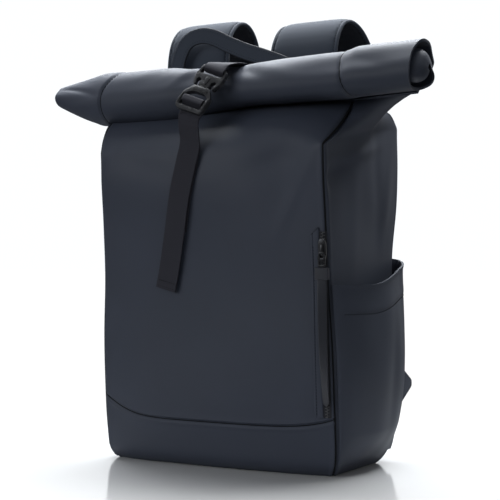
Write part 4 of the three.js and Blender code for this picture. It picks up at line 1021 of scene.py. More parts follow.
@dataclass
class BagShell:
    """The walls of the bag: front panel, front band, back, both sides and the base, with their seams."""

    form: BagForm = FORM
    band_middle: float = 48.0
    band_left: float = 73.0
    band_right: float = 59.0
    cloth: float = 1.3
    columns: int = 151
    rows_low: int = 120
    rows_neck: int = 36

    def even(self, count: int) -> Array:
        """Places across a wall, closer together near the seams: 0.72 t + 0.28 sin(πt/2)."""
        t = np.linspace(-1, 1, count)
        return 0.72 * t + 0.28 * np.sin(t * math.pi / 2)

    def neck_rows(self) -> Array:
        """Shares of the way from the shoulder to the roll."""
        return np.linspace(0, 1, self.rows_neck)[1:, None]

    def wall(
        self, name: str, face: str, across: Array, height: Array, rests_on: Sequence[str],
        edge: Optional[Array] = None,
    ) -> tuple:
        """Makes one wall of two grids a cloth's thickness apart.

        Args:
            name: The CAD node that it stands for.
            face: The wall.
            across: Grid of places across it.
            height: Grid of heights.
            rests_on: What it is sewn to; not used.
            edge: Millimetres from the seam that two pieces of the front meet in, which is grooved.

        Returns:
            The outer grid and its normals.
        """
        across, height = np.broadcast_arrays(across, height)
        outer, normals = self.form.dressed(face, across, height)
        if edge is None:
            gap = 0.12 * np.sign(across) * (np.abs(across) > 0.999)
            outer = outer - unit(np.gradient(outer, axis=1)) * gap[..., None]
        else:
            outer = outer + normals * (0.5 * hump((edge - 3) / 2.5) - 1.7 * hump(edge / 1.4))[..., None]
        piece = name.replace("side_panel", "side") + "_cloth"
        cloth_piece(piece, outer, outer - normals * self.cloth, COATED, [name])
        return outer, normals

    def build(self) -> None:
        """Makes the walls, the base, and dark cords in the seam grooves that paint their shade."""
        seam, normals = self.front()
        self.plain_walls()
        self.base()
        self.corner_seam_shade()
        solid = Solid()
        # A dark cord in the groove of the band's seam: painted shade.
        add_tube(solid, seam[2:-2] - normals[2:-2] * 0.1, 0.8, 6)
        solid.piece("band_seam_shade", THREAD_AND_SHADE_CORD)

    def front(self) -> tuple:
        """Makes the front panel and the band below it.

        The seam between them is U-shaped: middle + (edge - middle) · |across|⁵.

        Returns:
            Points along the seam and the normals there.
        """
        across = self.even(self.columns)[None, :]
        side = np.where(across < 0, self.band_left, self.band_right)
        tall = self.form.front_height
        low = mix(self.band_middle, side, np.abs(across) ** 5) / tall
        t = np.linspace(0, 1, self.rows_low)[:, None]
        t = 0.8 * t + 0.2 * np.sin(t * math.pi / 2)
        height = np.concatenate([mix(low, 1.0, t), np.ones_like(low) + self.neck_rows()])
        rests_on = ["front_band", "side_panel_right"]
        outer, normals = self.wall("front_panel", "front", across, height, rests_on, (height - low) * tall)
        height = low * np.linspace(0, 1, 34)[:, None] ** 0.8
        self.wall("front_band", "front", across, height, ["base_panel"], (low - height) * tall)
        return outer[0], normals[0]

    def plain_walls(self) -> None:
        """Makes the back wall and the two side walls, with rows closer together at the floor and the shoulder."""
        low = [np.linspace(0, 0.06, 14, endpoint=False), np.linspace(0.06, 0.9, 70), np.linspace(0.9, 1.0, 22)[1:]]
        height = np.concatenate([np.concatenate(low)[:, None], 1 + self.neck_rows()])
        self.wall("back_panel", "back", self.even(97)[None, :], height, ["base_panel"])
        half = [np.linspace(-1, -0.05, 44), np.linspace(-0.05, 0.05, 9)[1:-1], np.linspace(0.05, 1, 44)]
        for side in ("right", "left"):
            self.wall(f"side_panel_{side}", side, np.concatenate(half)[None, :], height, ["base_panel"])

    def base(self) -> None:
        """Makes the base: a cloth sheet stretched between the lower edges of the front and the back."""
        across = self.even(41)
        front = self.form.plain("front", across, np.zeros(41))
        back = self.form.plain("back", -across, np.zeros(41))
        grid = mix(back[None], front[None], np.linspace(0.015, 0.985, 24)[:, None, None])
        grid = grid * (0.985, 1, 1)
        grid[..., 2] = 0.9 + 0.4 * np.sin(grid[..., 0] * 0.03) ** 2
        inner = grid + Z_AXIS * 1.2
        cloth_piece("base_cloth", grid, inner, COATED, ["base_panel"])

    def corner_seam_shade(self) -> None:
        """Lays a dark cord in the groove of each corner seam: painted shade in the groove."""
        solid = Solid()
        height = np.concatenate([np.linspace(0.004, 1, 150), np.linspace(1, 1.93, 60)[1:]])
        for face in NEXT_FACE:
            here, inner, beyond = [
                self.form.soft(wall, np.full((1, len(height)), across), height[None])[0]
                for wall, across in ((face, 1.0), (face, 0.97), (NEXT_FACE[face], -0.97))
            ]
            # A near-black cord sunk into the seam's groove: painted shade.
            add_tube(solid, here + unit((inner + beyond) / 2 - here) * 1.5, 1.1, 6)
        solid.piece("corner_seam_shade", THREAD_AND_SHADE_CORD)
@dataclass
class RolledMouth:
    """Both walls pressed together and wound forward and down."""

    form: BagForm = FORM
    pitch: float = 8.0
    turns: float = 1.85
    strap_x: float = -6.5
    strap_lean: float = 0.36
    webbing: float = 25.0
    pinch: float = 0.15
    tip_scale: float = 0.42
    seam_gap: float = 0.5
    left_seam: float = -127.0
    right_seam: float = 152.0
    sag: float = 8.5
    tip_start: float = 146.0
    tip_height: float = 411.0
    overlap: float = math.radians(7)
    core_close: float = 14.0
    # x, scale of the roll's height, and shift of its middle
    line: tuple = (
        (-150.0, 0.96, -5.0),
        (-40.0, 0.97, -5.0),
        (15.0, 0.92, -4.5),
        (60.0, 0.89, -3.5),
        (148.0, 0.93, -2.8),
        (162.0, 0.96, -1.2),
        (228.0, 0.95, -2.0),
    )
    stations: int = 231
    angles: int = 190
    folds: tuple = (
        Fold("roll", 14.0, 128.0, 34.0, 7.0, 58.0, 1.5),
        Fold("roll", 28.0, 112.0, 40.0, 8.0, 42.0, -1.5),
        Fold("roll", 48.0, 118.0, 42.0, 9.0, 28.0, 1.3),
        Fold("roll", -36.0, 120.0, 30.0, 7.0, -50.0, 1.1),
        Fold("roll", -54.0, 108.0, 40.0, 9.0, -26.0, -0.9),
        Fold("roll", -186.0, 150.0, 30.0, 5.0, 20.0, -1.4),
        Fold("roll", -172.0, 200.0, 34.0, 6.0, -16.0, 1.2),
        Fold("roll", 186.0, 165.0, 34.0, 10.0, 30.0, -0.8),
    )

    @property
    def sheet(self) -> float:
        """Thickness of the doubled cloth."""
        return 2 * self.form.wall

    @property
    def pinch_x(self) -> float:
        """Middle of the closure strap on the roll."""
        return self.strap_x + self.form.roll_radius * self.strap_lean

    def along_line(self, x: Array, column: int) -> Array:
        """A column of the line table at a place: smooth steps from row to row."""
        table = np.array(self.line)
        value = np.full(np.shape(x), table[0, column])
        for low, high in zip(table[:-1], table[1:]):
            value = value + (high[column] - low[column]) * smooth(low[0], high[0], x)
        return value

    def turned(self, angle: Array) -> Array:
        """Turns of the roll from the neck to an angle."""
        return (angle - self.form.roll_start) / TAU

    def point(self, x: Array, angle: Array, offset: Array) -> Array:
        """A point of the doubled cloth.

        Its radius is (radius - pitch · turns so far) · rounded triangle · strap pinch + offset, and the left
        end is pressed flat.

        Args:
            x: Place along the roll.
            angle: From +Y towards +Z, growing as the cloth winds inwards.
            offset: Outwards from the middle of the sheet.

        Returns:
            The points.
        """
        form = self.form
        centre_y, centre_z = form.roll_centre
        x, angle = np.broadcast_arrays(np.asarray(x, float), np.asarray(angle, float))
        turned = self.turned(angle)
        flat_zone = self.webbing / 2 + form.roll_radius * self.strap_lean
        aside = smooth(flat_zone - 3, flat_zone + 2 * self.webbing, np.abs(x - self.pinch_x))
        pinch = 1 - self.pinch * smooth(0, 0.16, turned) * (1 - aside)
        radius = (form.roll_radius - self.pitch * turned) * form.shape(angle) * pinch + offset
        y = centre_y + radius * np.cos(angle)
        z = centre_z + radius * np.sin(angle)
        lift = self.seam_gap + self.sheet / 2 * abs(math.sin(form.roll_start))
        right_lift = np.where(x > 0, form.mouth_lift(x), 0.0)
        end = form.mouth_half - form.cut_left
        taper = np.clip((-x - self.tip_start) / (end - self.tip_start), 0, 1)
        flat = mix(1.0, self.tip_scale, taper**1.4)
        below = -self.sag * hump((angle - math.radians(262)) / math.radians(48)) * (1 - smooth(0.9, 1.0, turned))
        z = z + lift + right_lift + below * (1 - smooth(-70, 90, x))
        thinner = centre_z + (z - centre_z) * self.along_line(x, 1) + self.along_line(x, 2)
        z = mix(z, thinner, smooth(0.0, 0.14, turned))
        middle = mix(z, self.tip_height, smooth(0, 0.3, taper))
        y = centre_y + (y - centre_y) * mix(1.0, flat, 0.5) + 6 * taper
        return vec(x, y, middle + (z - middle) * flat)

    def step(self, angle: Array) -> Array:
        """How far a layer ends short of the right end: most where it leaves the neck, least at the top."""
        turned = self.turned(angle)
        neck = 1 - smooth(0.0, 0.17, turned)
        below = smooth(0.6, 0.85, turned) * (1 - smooth(0.95, 1.05, turned))
        inner = smooth(0.95, 1.1, turned)
        front = smooth(0.34, 0.5, turned) * (1 - smooth(0.9, 1.0, turned))
        return 0.5 + self.form.cut_right * 0.9 * neck + 6.0 * front + 4.0 * below - 5.0 * inner

    def seam_x(self, way: int, angle: Array) -> Array:
        """Place of a ring seam: the left one runs out towards the tip on the front, the right one bows inwards."""
        if way < 0:
            return self.left_seam - 17 * smooth(1.35, 3.0, angle)
        return self.right_seam - 6 * np.sin(angle - 0.4)

    def relief(self, x: Array, angle: Array) -> Array:
        """Outward relief on the outer turn: folds by the strap, the two ring seams, and the swell at their right."""
        turned = self.turned(angle)
        out = np.zeros(x.shape)
        for fold in self.folds:
            out = out + fold.rise(x - fold.across, (angle - math.radians(fold.up)) * self.form.roll_radius)
        out = out * smooth(self.webbing / 2 + 1, self.webbing / 2 + 9, np.abs(x - self.pinch_x))
        swell = 2.4 * hump((x - 70) / 52) * hump((angle - math.radians(165)) / 0.9)
        swell = swell + 1.6 * hump((x + 95) / 60) * hump((angle - math.radians(150)) / 1.0)
        wave = 0.4 * np.sin(x * 0.05 + angle * 2.1) * np.sin(angle * 3.3 - x * 0.021)
        seams = np.zeros(x.shape)
        for way in (-1, 1):
            off = (x - self.seam_x(way, angle)) * way
            seams = seams - 1.5 * hump(off / 1.5) + 0.9 * smooth(0, 2.5, off) * (1 - smooth(20, 60, off))
        apex = 3.0 * smooth(170, 226, x) * hump((angle - math.radians(62)) / 0.26)
        outer = (1 - smooth(0.8, 0.95, turned)) * smooth(0.03, 0.16, turned)
        return (out + swell + wave + seams + apex) * outer

    def core(self, x: Array, angle: Array) -> Array:
        """Inward shift that rounds the inner turns at the right end: 0.9 · radius · (1 - root(1 - s²))."""
        turned = self.turned(angle)
        end = self.form.mouth_half + 4.5
        s = np.clip((x - end + self.core_close) / self.core_close, 0, 1)
        radius = (self.form.roll_radius - self.pitch * turned) * self.form.shape(angle)
        return -0.9 * radius * (1 - np.sqrt(1 - 0.99 * s**2)) * smooth(0.98, 1.1, turned)

    def build(self) -> None:
        """Makes the rolled cloth with its ends, and a dark cord in the groove of both ring seams: painted shade."""
        form = self.form
        end = form.roll_start + self.turns * TAU
        angle = np.linspace(form.roll_start - self.overlap, end, self.angles)[None, :]
        t = np.linspace(-1, 1, self.stations)[:, None]
        t = 0.86 * t + 0.14 * np.sin(t * math.pi / 2)
        x = t * (form.mouth_half - mix(form.cut_left, self.step(angle), smooth(0.2, 1.0, t)))
        angle = np.broadcast_to(angle, x.shape)
        raised = self.relief(x, angle) + self.core(x, angle)
        outer = self.point(x, angle, self.sheet / 2 - 0.1 + raised)
        inner = self.point(x, angle, -self.sheet / 2 + 0.3 + raised * 0.9)
        cloth_piece("rolled_mouth_cloth", outer, inner, COATED, ["rolled_mouth"])
        solid = Solid()
        angle = np.linspace(math.radians(8), math.radians(250), 90)
        for way in (-1, 1):
            x = self.seam_x(way, angle)
            # A near-black cord along the seam's groove: painted shade.
            add_tube(solid, self.point(x, angle, self.sheet / 2 + self.relief(x, angle)), 0.75, 6)
        solid.piece("roll_seam_shade", THREAD_AND_SHADE_CORD)


ROLL = RolledMouth()


@dataclass
class SidePocket:
    """Open cloth pocket on the right side, with a deep hem at its rim."""

    form: BagForm = FORM
    bottom: float = 14.0
    front_rim: float = 193.0
    rear_rim: float = 220.0
    bulge: float = 20.0
    rear_offset: float = 5.0
    back_lap: float = 14.0
    cloth: float = 1.6
    hem: float = 0.165
    corner: float = 0.86

    def point(self, share: Array, height: Array, thick: Array) -> Array:
        """A point of the pocket: the side wall pushed out, then a quarter turn round the rear corner.

        Args:
            share: 0 at the front seam, 1 at the end of the lap on the back.
            height: 0 at the pocket's bottom, 1 at its rim.
            thick: Extra distance outwards.

        Returns:
            The points.
        """
        form = self.form
        share, height, thick = np.broadcast_arrays(*[np.asarray(v, float) for v in (share, height, thick)])
        along = np.minimum(share / self.corner, 1)
        z = mix(self.bottom, mix(self.front_rim, self.rear_rim, smooth(0.25, 1, share)), height)
        back = form.corner(1, "back", z / form.back_height)
        base = form.side_wall(1, mix(-1, 1, along), mix(z / form.front_height, z / form.back_height, along))
        full = np.sin(math.pi * along).clip(0) ** 0.62 * self.bulge * mix(0.6, 1.0, smooth(0, 0.6, height))
        rear_reach = self.rear_offset * mix(0.15, 1.0, smooth(0.0, 0.4, height))
        full = full + rear_reach * smooth(0.5, 1, along)
        close = smooth(-0.02, 0.16, height)
        gap = form.layer_gap + 0.5 * smooth(0.9, 1, share) + thick
        side = vec(base[..., 0] + gap + full * close, base[..., 1] + 1.2 * (1 - along) ** 2, z)
        turn = np.clip((share - self.corner) / (1 - self.corner), 0, 1)
        reach = self.back_lap * smooth(0.45, 1, turn)
        angle = np.minimum(turn / 0.5, 1) * math.pi / 2
        lap = form.flat_wall("back", reach / back[..., 0] - 1, z / form.back_height)
        radius = gap + rear_reach * close
        rear = np.sin(angle) * mix(radius, gap, smooth(0.5, 1, turn))
        rearward = vec(back[..., 0] + np.cos(angle) * radius - reach, lap[..., 1] + rear, z)
        return np.where((share <= self.corner)[..., None], side, rearward)

    def build(self) -> None:
        """Makes the pocket and its hem stitches."""
        share = np.concatenate([np.linspace(0, self.corner, 110)[:-1], np.linspace(self.corner, 1, 40)])[None, :]
        height = np.linspace(0, 1, 110)[:, None]
        outer = self.point(share, height, self.cloth)
        normals = grid_normals(outer)
        outer = outer + normals * self.relief(share, height)[..., None]
        thick = mix(self.cloth, self.cloth * 1.5, smooth(1 - self.hem, 1 - self.hem + 0.02, height))
        inner = outer - normals * thick[..., None]
        cloth_piece("side_pocket_cloth", outer, inner, COATED, ["side_pocket"])
        solid = Solid()
        row = (int(round((1 - self.hem) * 109)), slice(6, 120))
        add_stitches(solid, outer[row] + normals[row] * 0.35, normals[row], 3.0, 2.0, 0.5)
        solid.piece("pocket_stitches", THREAD_AND_SHADE_CORD)

    def relief(self, share: Array, height: Array) -> Array:
        """Outward relief: the sewn line under the hem, soft folds, and the pressed edge near the rear corner."""
        share, height = np.broadcast_arrays(share, height)
        line = -0.55 * hump((height - (1 - self.hem)) / 0.009) + 0.35 * hump((height - (1 - self.hem + 0.03)) / 0.03)
        drape = 1.4 * hump((share - 0.74 - 0.1 * (1 - height)) / 0.05) * smooth(0.02, 0.3, height)
        drape = drape - 1.2 * hump((share - 0.56) / 0.08) * hump((height - 0.5) / 0.4)
        wave = 0.5 * np.sin(share * 17 + height * 3) * np.sin(height * 7 - share * 2)
        rolled = 1.1 * hump((height - 1) / 0.016)
        edge = smooth(0.0, 0.06, share) * smooth(1.0, 0.92, share)
        return (line + drape + wave + rolled) * edge


@dataclass(frozen=True)
class Plane:
    """A place with its own axes across, up and out."""

    place: Array
    across: Array
    up: Array
    out: Array

    def raised(self, distance: float) -> "Plane":
        """The same plane, moved outwards."""
        return Plane(self.place + self.out * distance, self.across, self.up, self.out)


def rounded(outline: Array, radius: float, steps: int = 4) -> Array:
    """Rounds an outline's corners with quadratic curves that start a radius, or 0.45 of an edge, before each."""
    outline = np.asarray(outline, float)
    back, ahead = np.roll(outline, 1, 0) - outline, np.roll(outline, -1, 0) - outline
    start, end = [
        outline + edge * np.minimum(radius / np.linalg.norm(edge, axis=1, keepdims=True), 0.45)
        for edge in (back, ahead)
    ]
    t = np.linspace(0, 1, steps + 1)[None, :, None]
    curve = (1 - t) ** 2 * start[:, None] + 2 * t * (1 - t) * outline[:, None] + t * t * end[:, None]
    return curve.reshape(-1, 2)


def is_rim(edge: bmesh.types.BMEdge) -> bool:
    """Whether an edge lies level between a plate's face and its side."""
    level = abs(edge.verts[0].co.z - edge.verts[1].co.z) < 1e-6
    return len(edge.link_faces) == 2 and abs(edge.calc_face_angle(0.0) - math.pi / 2) < 0.2 and level


def add_plate(
    solid: Solid, outline: Array, holes: Sequence, thick: float, bevel: float, plane: Plane, radius: float = 1.6
) -> None:
    """Adds a flat moulded plate: outline and holes are filled, carried through the thickness, and bevelled.

    Args:
        solid: Where it goes.
        outline: Corners (n, 2) in the plate's own across and up.
        holes: Corners of each hole.
        thick: Thickness.
        bevel: Width of the rounded edge.
        plane: Its middle and axes.
        radius: How far its corners are rounded.
    """
    shape = bmesh.new()
    for loop in [rounded(outline, radius), *[rounded(hole, radius * 0.6) for hole in holes]]:
        corners = [shape.verts.new((float(x), float(y), -thick / 2)) for x, y in loop]
        for corner, after in zip(corners, corners[1:] + corners[:1]):
            shape.edges.new((corner, after))
    bmesh.ops.remove_doubles(shape, verts=shape.verts[:], dist=1e-4)
    bmesh.ops.triangle_fill(shape, use_beauty=True, use_dissolve=False, edges=shape.edges[:], normal=(0, 0, 1))
    lifted = bmesh.ops.extrude_face_region(shape, geom=shape.faces[:])
    moved = [item for item in lifted["geom"] if isinstance(item, bmesh.types.BMVert)]
    bmesh.ops.translate(shape, verts=moved, vec=(0, 0, thick))
    bmesh.ops.recalc_face_normals(shape, faces=shape.faces[:])
    rims = [edge for edge in shape.edges if is_rim(edge)]
    bmesh.ops.bevel(shape, geom=rims, offset=bevel, segments=2, profile=0.5, affect="EDGES", clamp_overlap=True)
    bmesh.ops.recalc_face_normals(shape, faces=shape.faces[:])
    shape.verts.index_update()
    local = np.array([vertex.co[:] for vertex in shape.verts])
    faces = [[corner.index for corner in face.verts] for face in shape.faces]
    shape.free()
    turn = np.stack([plane.across, plane.up, plane.out])
    if np.linalg.det(turn) < 0:
        faces = [face[::-1] for face in faces]
    solid.add(plane.place + local @ turn, faces)


def mirrored(half: Sequence) -> Array:
    """An outline from its right half, given upwards or downwards."""
    given = np.asarray(half, float)
    return np.concatenate([given, given[::-1] * (-1, 1)])


@dataclass
class ZipSet:
    """Upright zip beside the front right seam: welt, tape, teeth, slider, puller and its long pull strap."""

    form: BagForm = FORM
    x: float = 134.5
    top: float = 250.0
    low: float = 60.0
    tape: float = 8.0
    welt: float = 9.0
    welt_thick: float = 1.6
    gap: float = 0.4
    tooth: float = 1.5
    slider: tuple = (8.0, 22.0)
    slider_low: float = 3.1
    puller: tuple = (8.0, 15.0, 2.0)
    strap: tuple = (10.0, 138.0, 1.8)
    collar: tuple = (15.0, 12.0, 4.0)

    @property
    def puller_out(self) -> float:
        """How far the puller's middle stands out."""
        return self.slider_low + 3.5 + self.puller[2] / 2

    @property
    def puller_z(self) -> float:
        """Height of the puller's middle."""
        return self.top - self.slider[1] * 1.5 + self.puller[1] * 0.1

    def add_strip(self, solid: Solid, x: Array, z: Array, thick: Array) -> Array:
        """Adds a strip that lies on the front wall, and gives its outer grid."""
        x, z, thick = np.broadcast_arrays(x, z, thick)
        outer, inner = self.form.on_front(x, z, self.gap + thick), self.form.on_front(x, z, self.gap)
        solid.add(np.concatenate([outer.reshape(-1, 3), inner.reshape(-1, 3)]), sheet_faces(*x.shape))
        return outer

    def build(self) -> None:
        """Makes every piece of the zip."""
        self.make_welt()
        self.make_tape()
        self.make_slider()
        self.make_strap()

    def make_welt(self) -> None:
        """Makes the folded strip beside the zip, its slanted top, the stitches along it, and a dark cord under its
        edge: painted shade.
        """
        t = np.linspace(0, 1, 15)[None, :]
        x = self.x - self.tape / 2 - 0.5 - self.welt * (1 - t)
        z = mix(self.low, self.top - self.welt * (1 - t) * 0.9, np.linspace(0, 1, 90)[:, None])
        fat = self.welt_thick * (1 - 0.35 * (2 * t - 1) ** 6) - 0.5 * hump((t - 0.3) / 0.05)
        solid, rows = Solid(), Solid()
        outer = self.add_strip(solid, x, z, fat)
        normals = grid_normals(outer)
        solid.piece("zip_welt_cloth", COATED, ["zip_welt"])
        line = (slice(1, -6), 4)
        add_stitches(rows, outer[line] + normals[line] * 0.3, normals[line], 3.0, 2.0, 0.5)
        # A dark cord under the welt's edge: painted shade.
        rim, rim_out = [np.concatenate([grid[:, 0], grid[-1, 1:]]) for grid in (outer, normals)]
        add_tube(rows, rim - rim_out * (self.welt_thick - 0.2), 0.65, 6)
        rows.piece("zip_stitches_and_shade_cord", THREAD_AND_SHADE_CORD)

    def make_tape(self) -> None:
        """Makes both tapes, and between them the teeth: small bent tubes from left and right in turn."""
        solid, teeth = Solid(), Solid()
        high = self.top - 4.0
        z = np.linspace(self.low, high, 80)[:, None]
        for left, right in ((-self.tape / 2, -0.3), (0.3, self.tape / 2)):
            self.add_strip(solid, self.x + np.linspace(left, right, 6)[None, :], z, 0.8)
        solid.piece("zip_tape_cloth", TAPE, ["zip_tape"])
        count = int((high - self.low) / self.tooth)
        section = section_points(1.0, 0.9, 0.8, 6)
        z = self.low + (np.arange(count) + 0.5) * self.tooth
        places = self.form.on_front(self.x, z, 1.5)
        outs = self.form.front_normal(np.full(count, 0.94), z / self.form.front_height)
        asides = unit(np.cross(outs, Z_AXIS)) * np.where(np.arange(count) % 2 == 0, 1.0, -1.0)[:, None]
        reach = np.array([-0.3, 0.4, 1.2, 2.0])[:, None]
        dip = np.array([0.25, 0.45, 0.35, -0.1])[:, None]
        for place, out, aside in zip(places, outs, asides):
            add_band(teeth, place + aside * reach + out * dip, Z_AXIS, section)
        teeth.piece("zip_teeth", PLASTIC)

    def plane(self, z: float, offset: float) -> Plane:
        """Place and axes on the zip at a height."""
        place, above = self.form.on_front(self.x, np.array([z, z + 4]), offset)
        out = self.form.front_normal(np.array([0.94]), np.array([z / self.form.front_height]))[0]
        up = unit(above - place)
        across = unit(np.cross(up, out))
        return Plane(place, across, up, unit(np.cross(across, up)))

    def make_slider(self) -> None:
        """Makes the slider with its bridge, and the puller hooked on it."""
        size = np.array(self.slider)
        plane = self.plane(self.top - self.slider[1], self.slider_low)
        outline = mirrored([(0.3, 0.5), (0.5, 0.3), (0.5, -0.35), (0.32, -0.5)]) * size
        solid, pull = Solid(), Solid()
        add_plate(solid, outline[::-1], [], 3.0, 0.5, plane.raised(1.5))
        t = np.linspace(0, math.pi, 18)[:, None]
        bridge = plane.place + plane.up * (6.5 * np.cos(t)) + plane.out * (2.7 + 2.3 * np.sin(t))
        add_band(solid, bridge, plane.across, section_points(2.6, 1.1, 0.6, 10))
        solid.piece("zip_slider_metal", METAL, ["zip_slider"])
        size = np.array(self.puller[:2])
        ring = mirrored([(0.3, 0.5), (0.5, 0.2), (0.5, -0.5)]) * size
        slot = np.array([(-0.3, -0.36), (-0.3, -0.12), (0.3, -0.12), (0.3, -0.36)]) * size
        eye = np.array([(-0.22, 0.1), (-0.22, 0.38), (0.22, 0.38), (0.22, 0.1)]) * size
        add_plate(pull, ring[::-1], [slot, eye], self.puller[2], 0.5, self.plane(self.puller_z, self.puller_out))
        pull.piece("zip_puller_metal", METAL, ["zip_puller"])

    def make_strap(self) -> None:
        """Makes the pull strap, narrower downwards and slightly twisted, with its moulded collar."""
        width, length, thick = self.strap
        solid = Solid()
        share = np.linspace(0.0, 1, 90)
        sway = -width * 0.12 * np.sin(share * math.pi)
        top = self.puller_z - self.puller[1] / 2 - 0.5
        lift = mix(self.puller_out, self.slider_low + thick, share)
        path = self.form.on_front(self.x + sway, top - share * length, lift)
        twist = 0.5 * np.sin(share * math.pi * 1.2)
        across = vec(np.cos(twist), np.sin(twist), 0)
        end = np.sqrt(np.clip(1 - np.clip((share - 0.965) / 0.035, 0, 1) ** 2, 0.02, 1))
        sizes = np.stack([mix(1.0, 0.75, share) * end, np.maximum(end, 0.5)], -1)[:, None]
        add_band(solid, path, across, section_points(width, thick, 0.35, 20)[None] * sizes)
        shut = section_points(self.collar[0], self.collar[2], 0.3, 24)
        steps = np.array([0.0, 0.02, 0.5, 0.98, 1.0])[:, None] * self.collar[1] / (length * 8 / 89)
        swell = np.array([0.82, 1.0, 1.0, 1.0, 0.82])[:, None, None]
        add_band(solid, mix(path[0], path[8], steps), across[:5], shut[None] * swell)
        solid.piece("zip_pull_strap_moulded", PULL, ["zip_pull_strap"])


@dataclass
class ClosureStrap:
    """The webbing that holds the roll, in two pieces, and the side-release buckle between them."""

    form: BagForm = FORM
    roll: RolledMouth = field(default_factory=lambda: ROLL)
    width: float = 25.0
    thick: float = 1.5
    gap: float = 0.4
    lean: float = 0.255
    lean_high: float = 0.36
    x: float = -3.5
    buckle_shift: float = -3.5
    x_height: float = 373.0
    anchor_drop: float = 83.0
    end_drop: float = 146.0
    back_reach: float = 40.0
    tilt: float = math.radians(34)
    drop: float = 31.0
    buckle: tuple = (34.5, 58.0, 5.5)
    rim: float = 4.0
    slot: float = 7.0
    join: float = 2.5
    waist: float = 13.0

    def __post_init__(self) -> None:
        """Works out the distances that the paths and both halves of the buckle use."""
        self.first = self.gap + self.thick / 2
        self.near = self.buckle[2] / 2 + self.first
        self.around = self.first + 0.1
        self.half = self.buckle[1] / 2
        self.low = self.rim + self.slot - self.half
        self.bar = self.low + 4
        self.arch = self.low + 13
        self.high = self.half - self.rim
        self.across = unit(X_AXIS - Z_AXIS * self.lean)
        self.across_high = unit(X_AXIS - Z_AXIS * self.lean_high)
        self.plane = self.buckle_plane()

    def lean_point(self, y: Array, z: Array) -> Array:
        """A point in the strap's leaning plane, whose x grows with its height, faster on the roll."""
        rise = np.asarray(z, float) - self.x_height
        return vec(self.x + np.minimum(rise, 0) * self.lean + np.maximum(rise, 0) * self.lean_high, y, z)

    def buckle_plane(self) -> Plane:
        """Middle and axes of the buckle: across, along its length, and outwards."""
        form, roll = self.form, self.roll
        angle = math.pi - self.tilt
        radius = form.roll_radius * (1 - form.roll_triangle) * (1 - roll.pinch) + roll.sheet / 2
        far = radius + self.buckle[2] / 2 + 2 * self.thick + 2 * self.gap + 2
        y = form.roll_centre[0] + far * math.cos(angle) - self.drop * math.sin(self.tilt)
        z = form.roll_centre[1] + far * math.sin(angle) - self.drop * math.cos(self.tilt)
        up = unit(np.array([self.lean_high * math.cos(self.tilt), math.sin(self.tilt), math.cos(self.tilt)]))
        out = unit(np.cross(self.across_high, up))
        return Plane(self.lean_point(y, z) + X_AXIS * self.buckle_shift, self.across_high, up, out)

    def on_buckle(self, places: Sequence) -> Array:
        """Points given along and out of the buckle."""
        pairs = np.asarray(places, float)
        return self.plane.place + pairs[:, :1] * self.plane.up + pairs[:, 1:] * self.plane.out

    def wrap(self, end: float, way: int) -> list:
        """Places where webbing turns round the outer corner of a bar."""
        face, around = self.buckle[2] / 2, self.around
        slant = around * math.sqrt(0.5)
        corner = [(end + way * around, face * 0.6), (end + way * slant, face + slant)]
        return [*corner, (end - way * 0.6, face + around)]

    def on_wall(self, z: float, offset: float) -> Array:
        """A point in front of the wall in the strap's plane."""
        x = self.lean_point(0.0, z)[0]
        return self.lean_point(self.form.on_front(np.array([x]), z, offset)[0, 1], z)

    def front_path(self) -> Array:
        """Route of the front webbing: sewn to the wall, up behind the buckle, round its bar and down, hanging."""
        layer = self.thick + self.gap
        first, near, around, half, low, bar = self.first, self.near, self.around, self.half, self.low, self.bar
        high = self.form.front_height
        crest = float(self.form.plain("front", np.array([0.0]), np.array([1.0]))[0, 1])
        points = [self.on_wall(high - self.anchor_drop * share, first) for share in (1, 0.855, 0.64, 0.4, 0.18)]
        points.append(self.on_wall(high - 6, first + 2))
        points.append(self.lean_point(crest - first - 2, high + 2))
        mid = (low + bar) / 2
        turns = [
            (-half - 8, -near - layer), (mid - 4, -near - layer), (mid + 2, -near - layer),
            (bar + around, -near - layer / 2), (bar + around + 0.4, -near * 0.4), *self.wrap(bar, 1),
            (mid, near + 0.1), *self.wrap(low, -1)[::-1], (low - around - 0.6, 0),
            (low - around - 1.4, -near * 0.7), (low - around - 3.6, -near), (-half + 1, -near),
            (-half - 6, -near + 0.4),
        ]
        placed = self.on_buckle(turns)
        beyond = np.array(turns)[:, 0] < 2 - half
        placed[beyond, 0] = self.lean_point(0.0, placed[beyond, 2])[:, 0]
        points.extend(placed)
        points.append(self.lean_point(crest - first - layer - 2.6, high + 6))
        for share in (0.08, 0.33, 0.57, 0.81, 1):
            points.append(self.on_wall(high - self.end_drop * share, first + layer + 1.6))
        return smooth_path(points, 8)

    def back_path(self) -> Array:
        """Route of the rear webbing: round the upper bar, over the roll and down behind it."""
        near, around, bar, half = self.near, self.around, self.high, self.half
        points = list(self.on_buckle([
            (bar + 9, -near - 0.6), (bar + 2, -near), (bar - around * 0.7, -near * 0.9),
            (bar - around - 0.3, -near * 0.4), (bar - around - 0.3, 0), *self.wrap(bar, -1),
            (half + 1, near - 0.4), (half + 6, near - 2.6),
        ]))
        for degrees in (88, 68, 45, 20, 0):
            offset = self.roll.sheet / 2 + self.first + (2 if degrees > 80 else 0.6)
            points.append(self.lean_point(*self.roll.point(self.roll.pinch_x, math.radians(degrees), offset)[1:]))
        for share in (0.45, 0.6, 0.8, 1):
            reach = self.form.neck[0] + self.back_reach * share
            points.append(self.lean_point(*self.form.on_back_neck(self.x, reach, self.first + 0.7)[1:]))
        return smooth_path(points, 8)

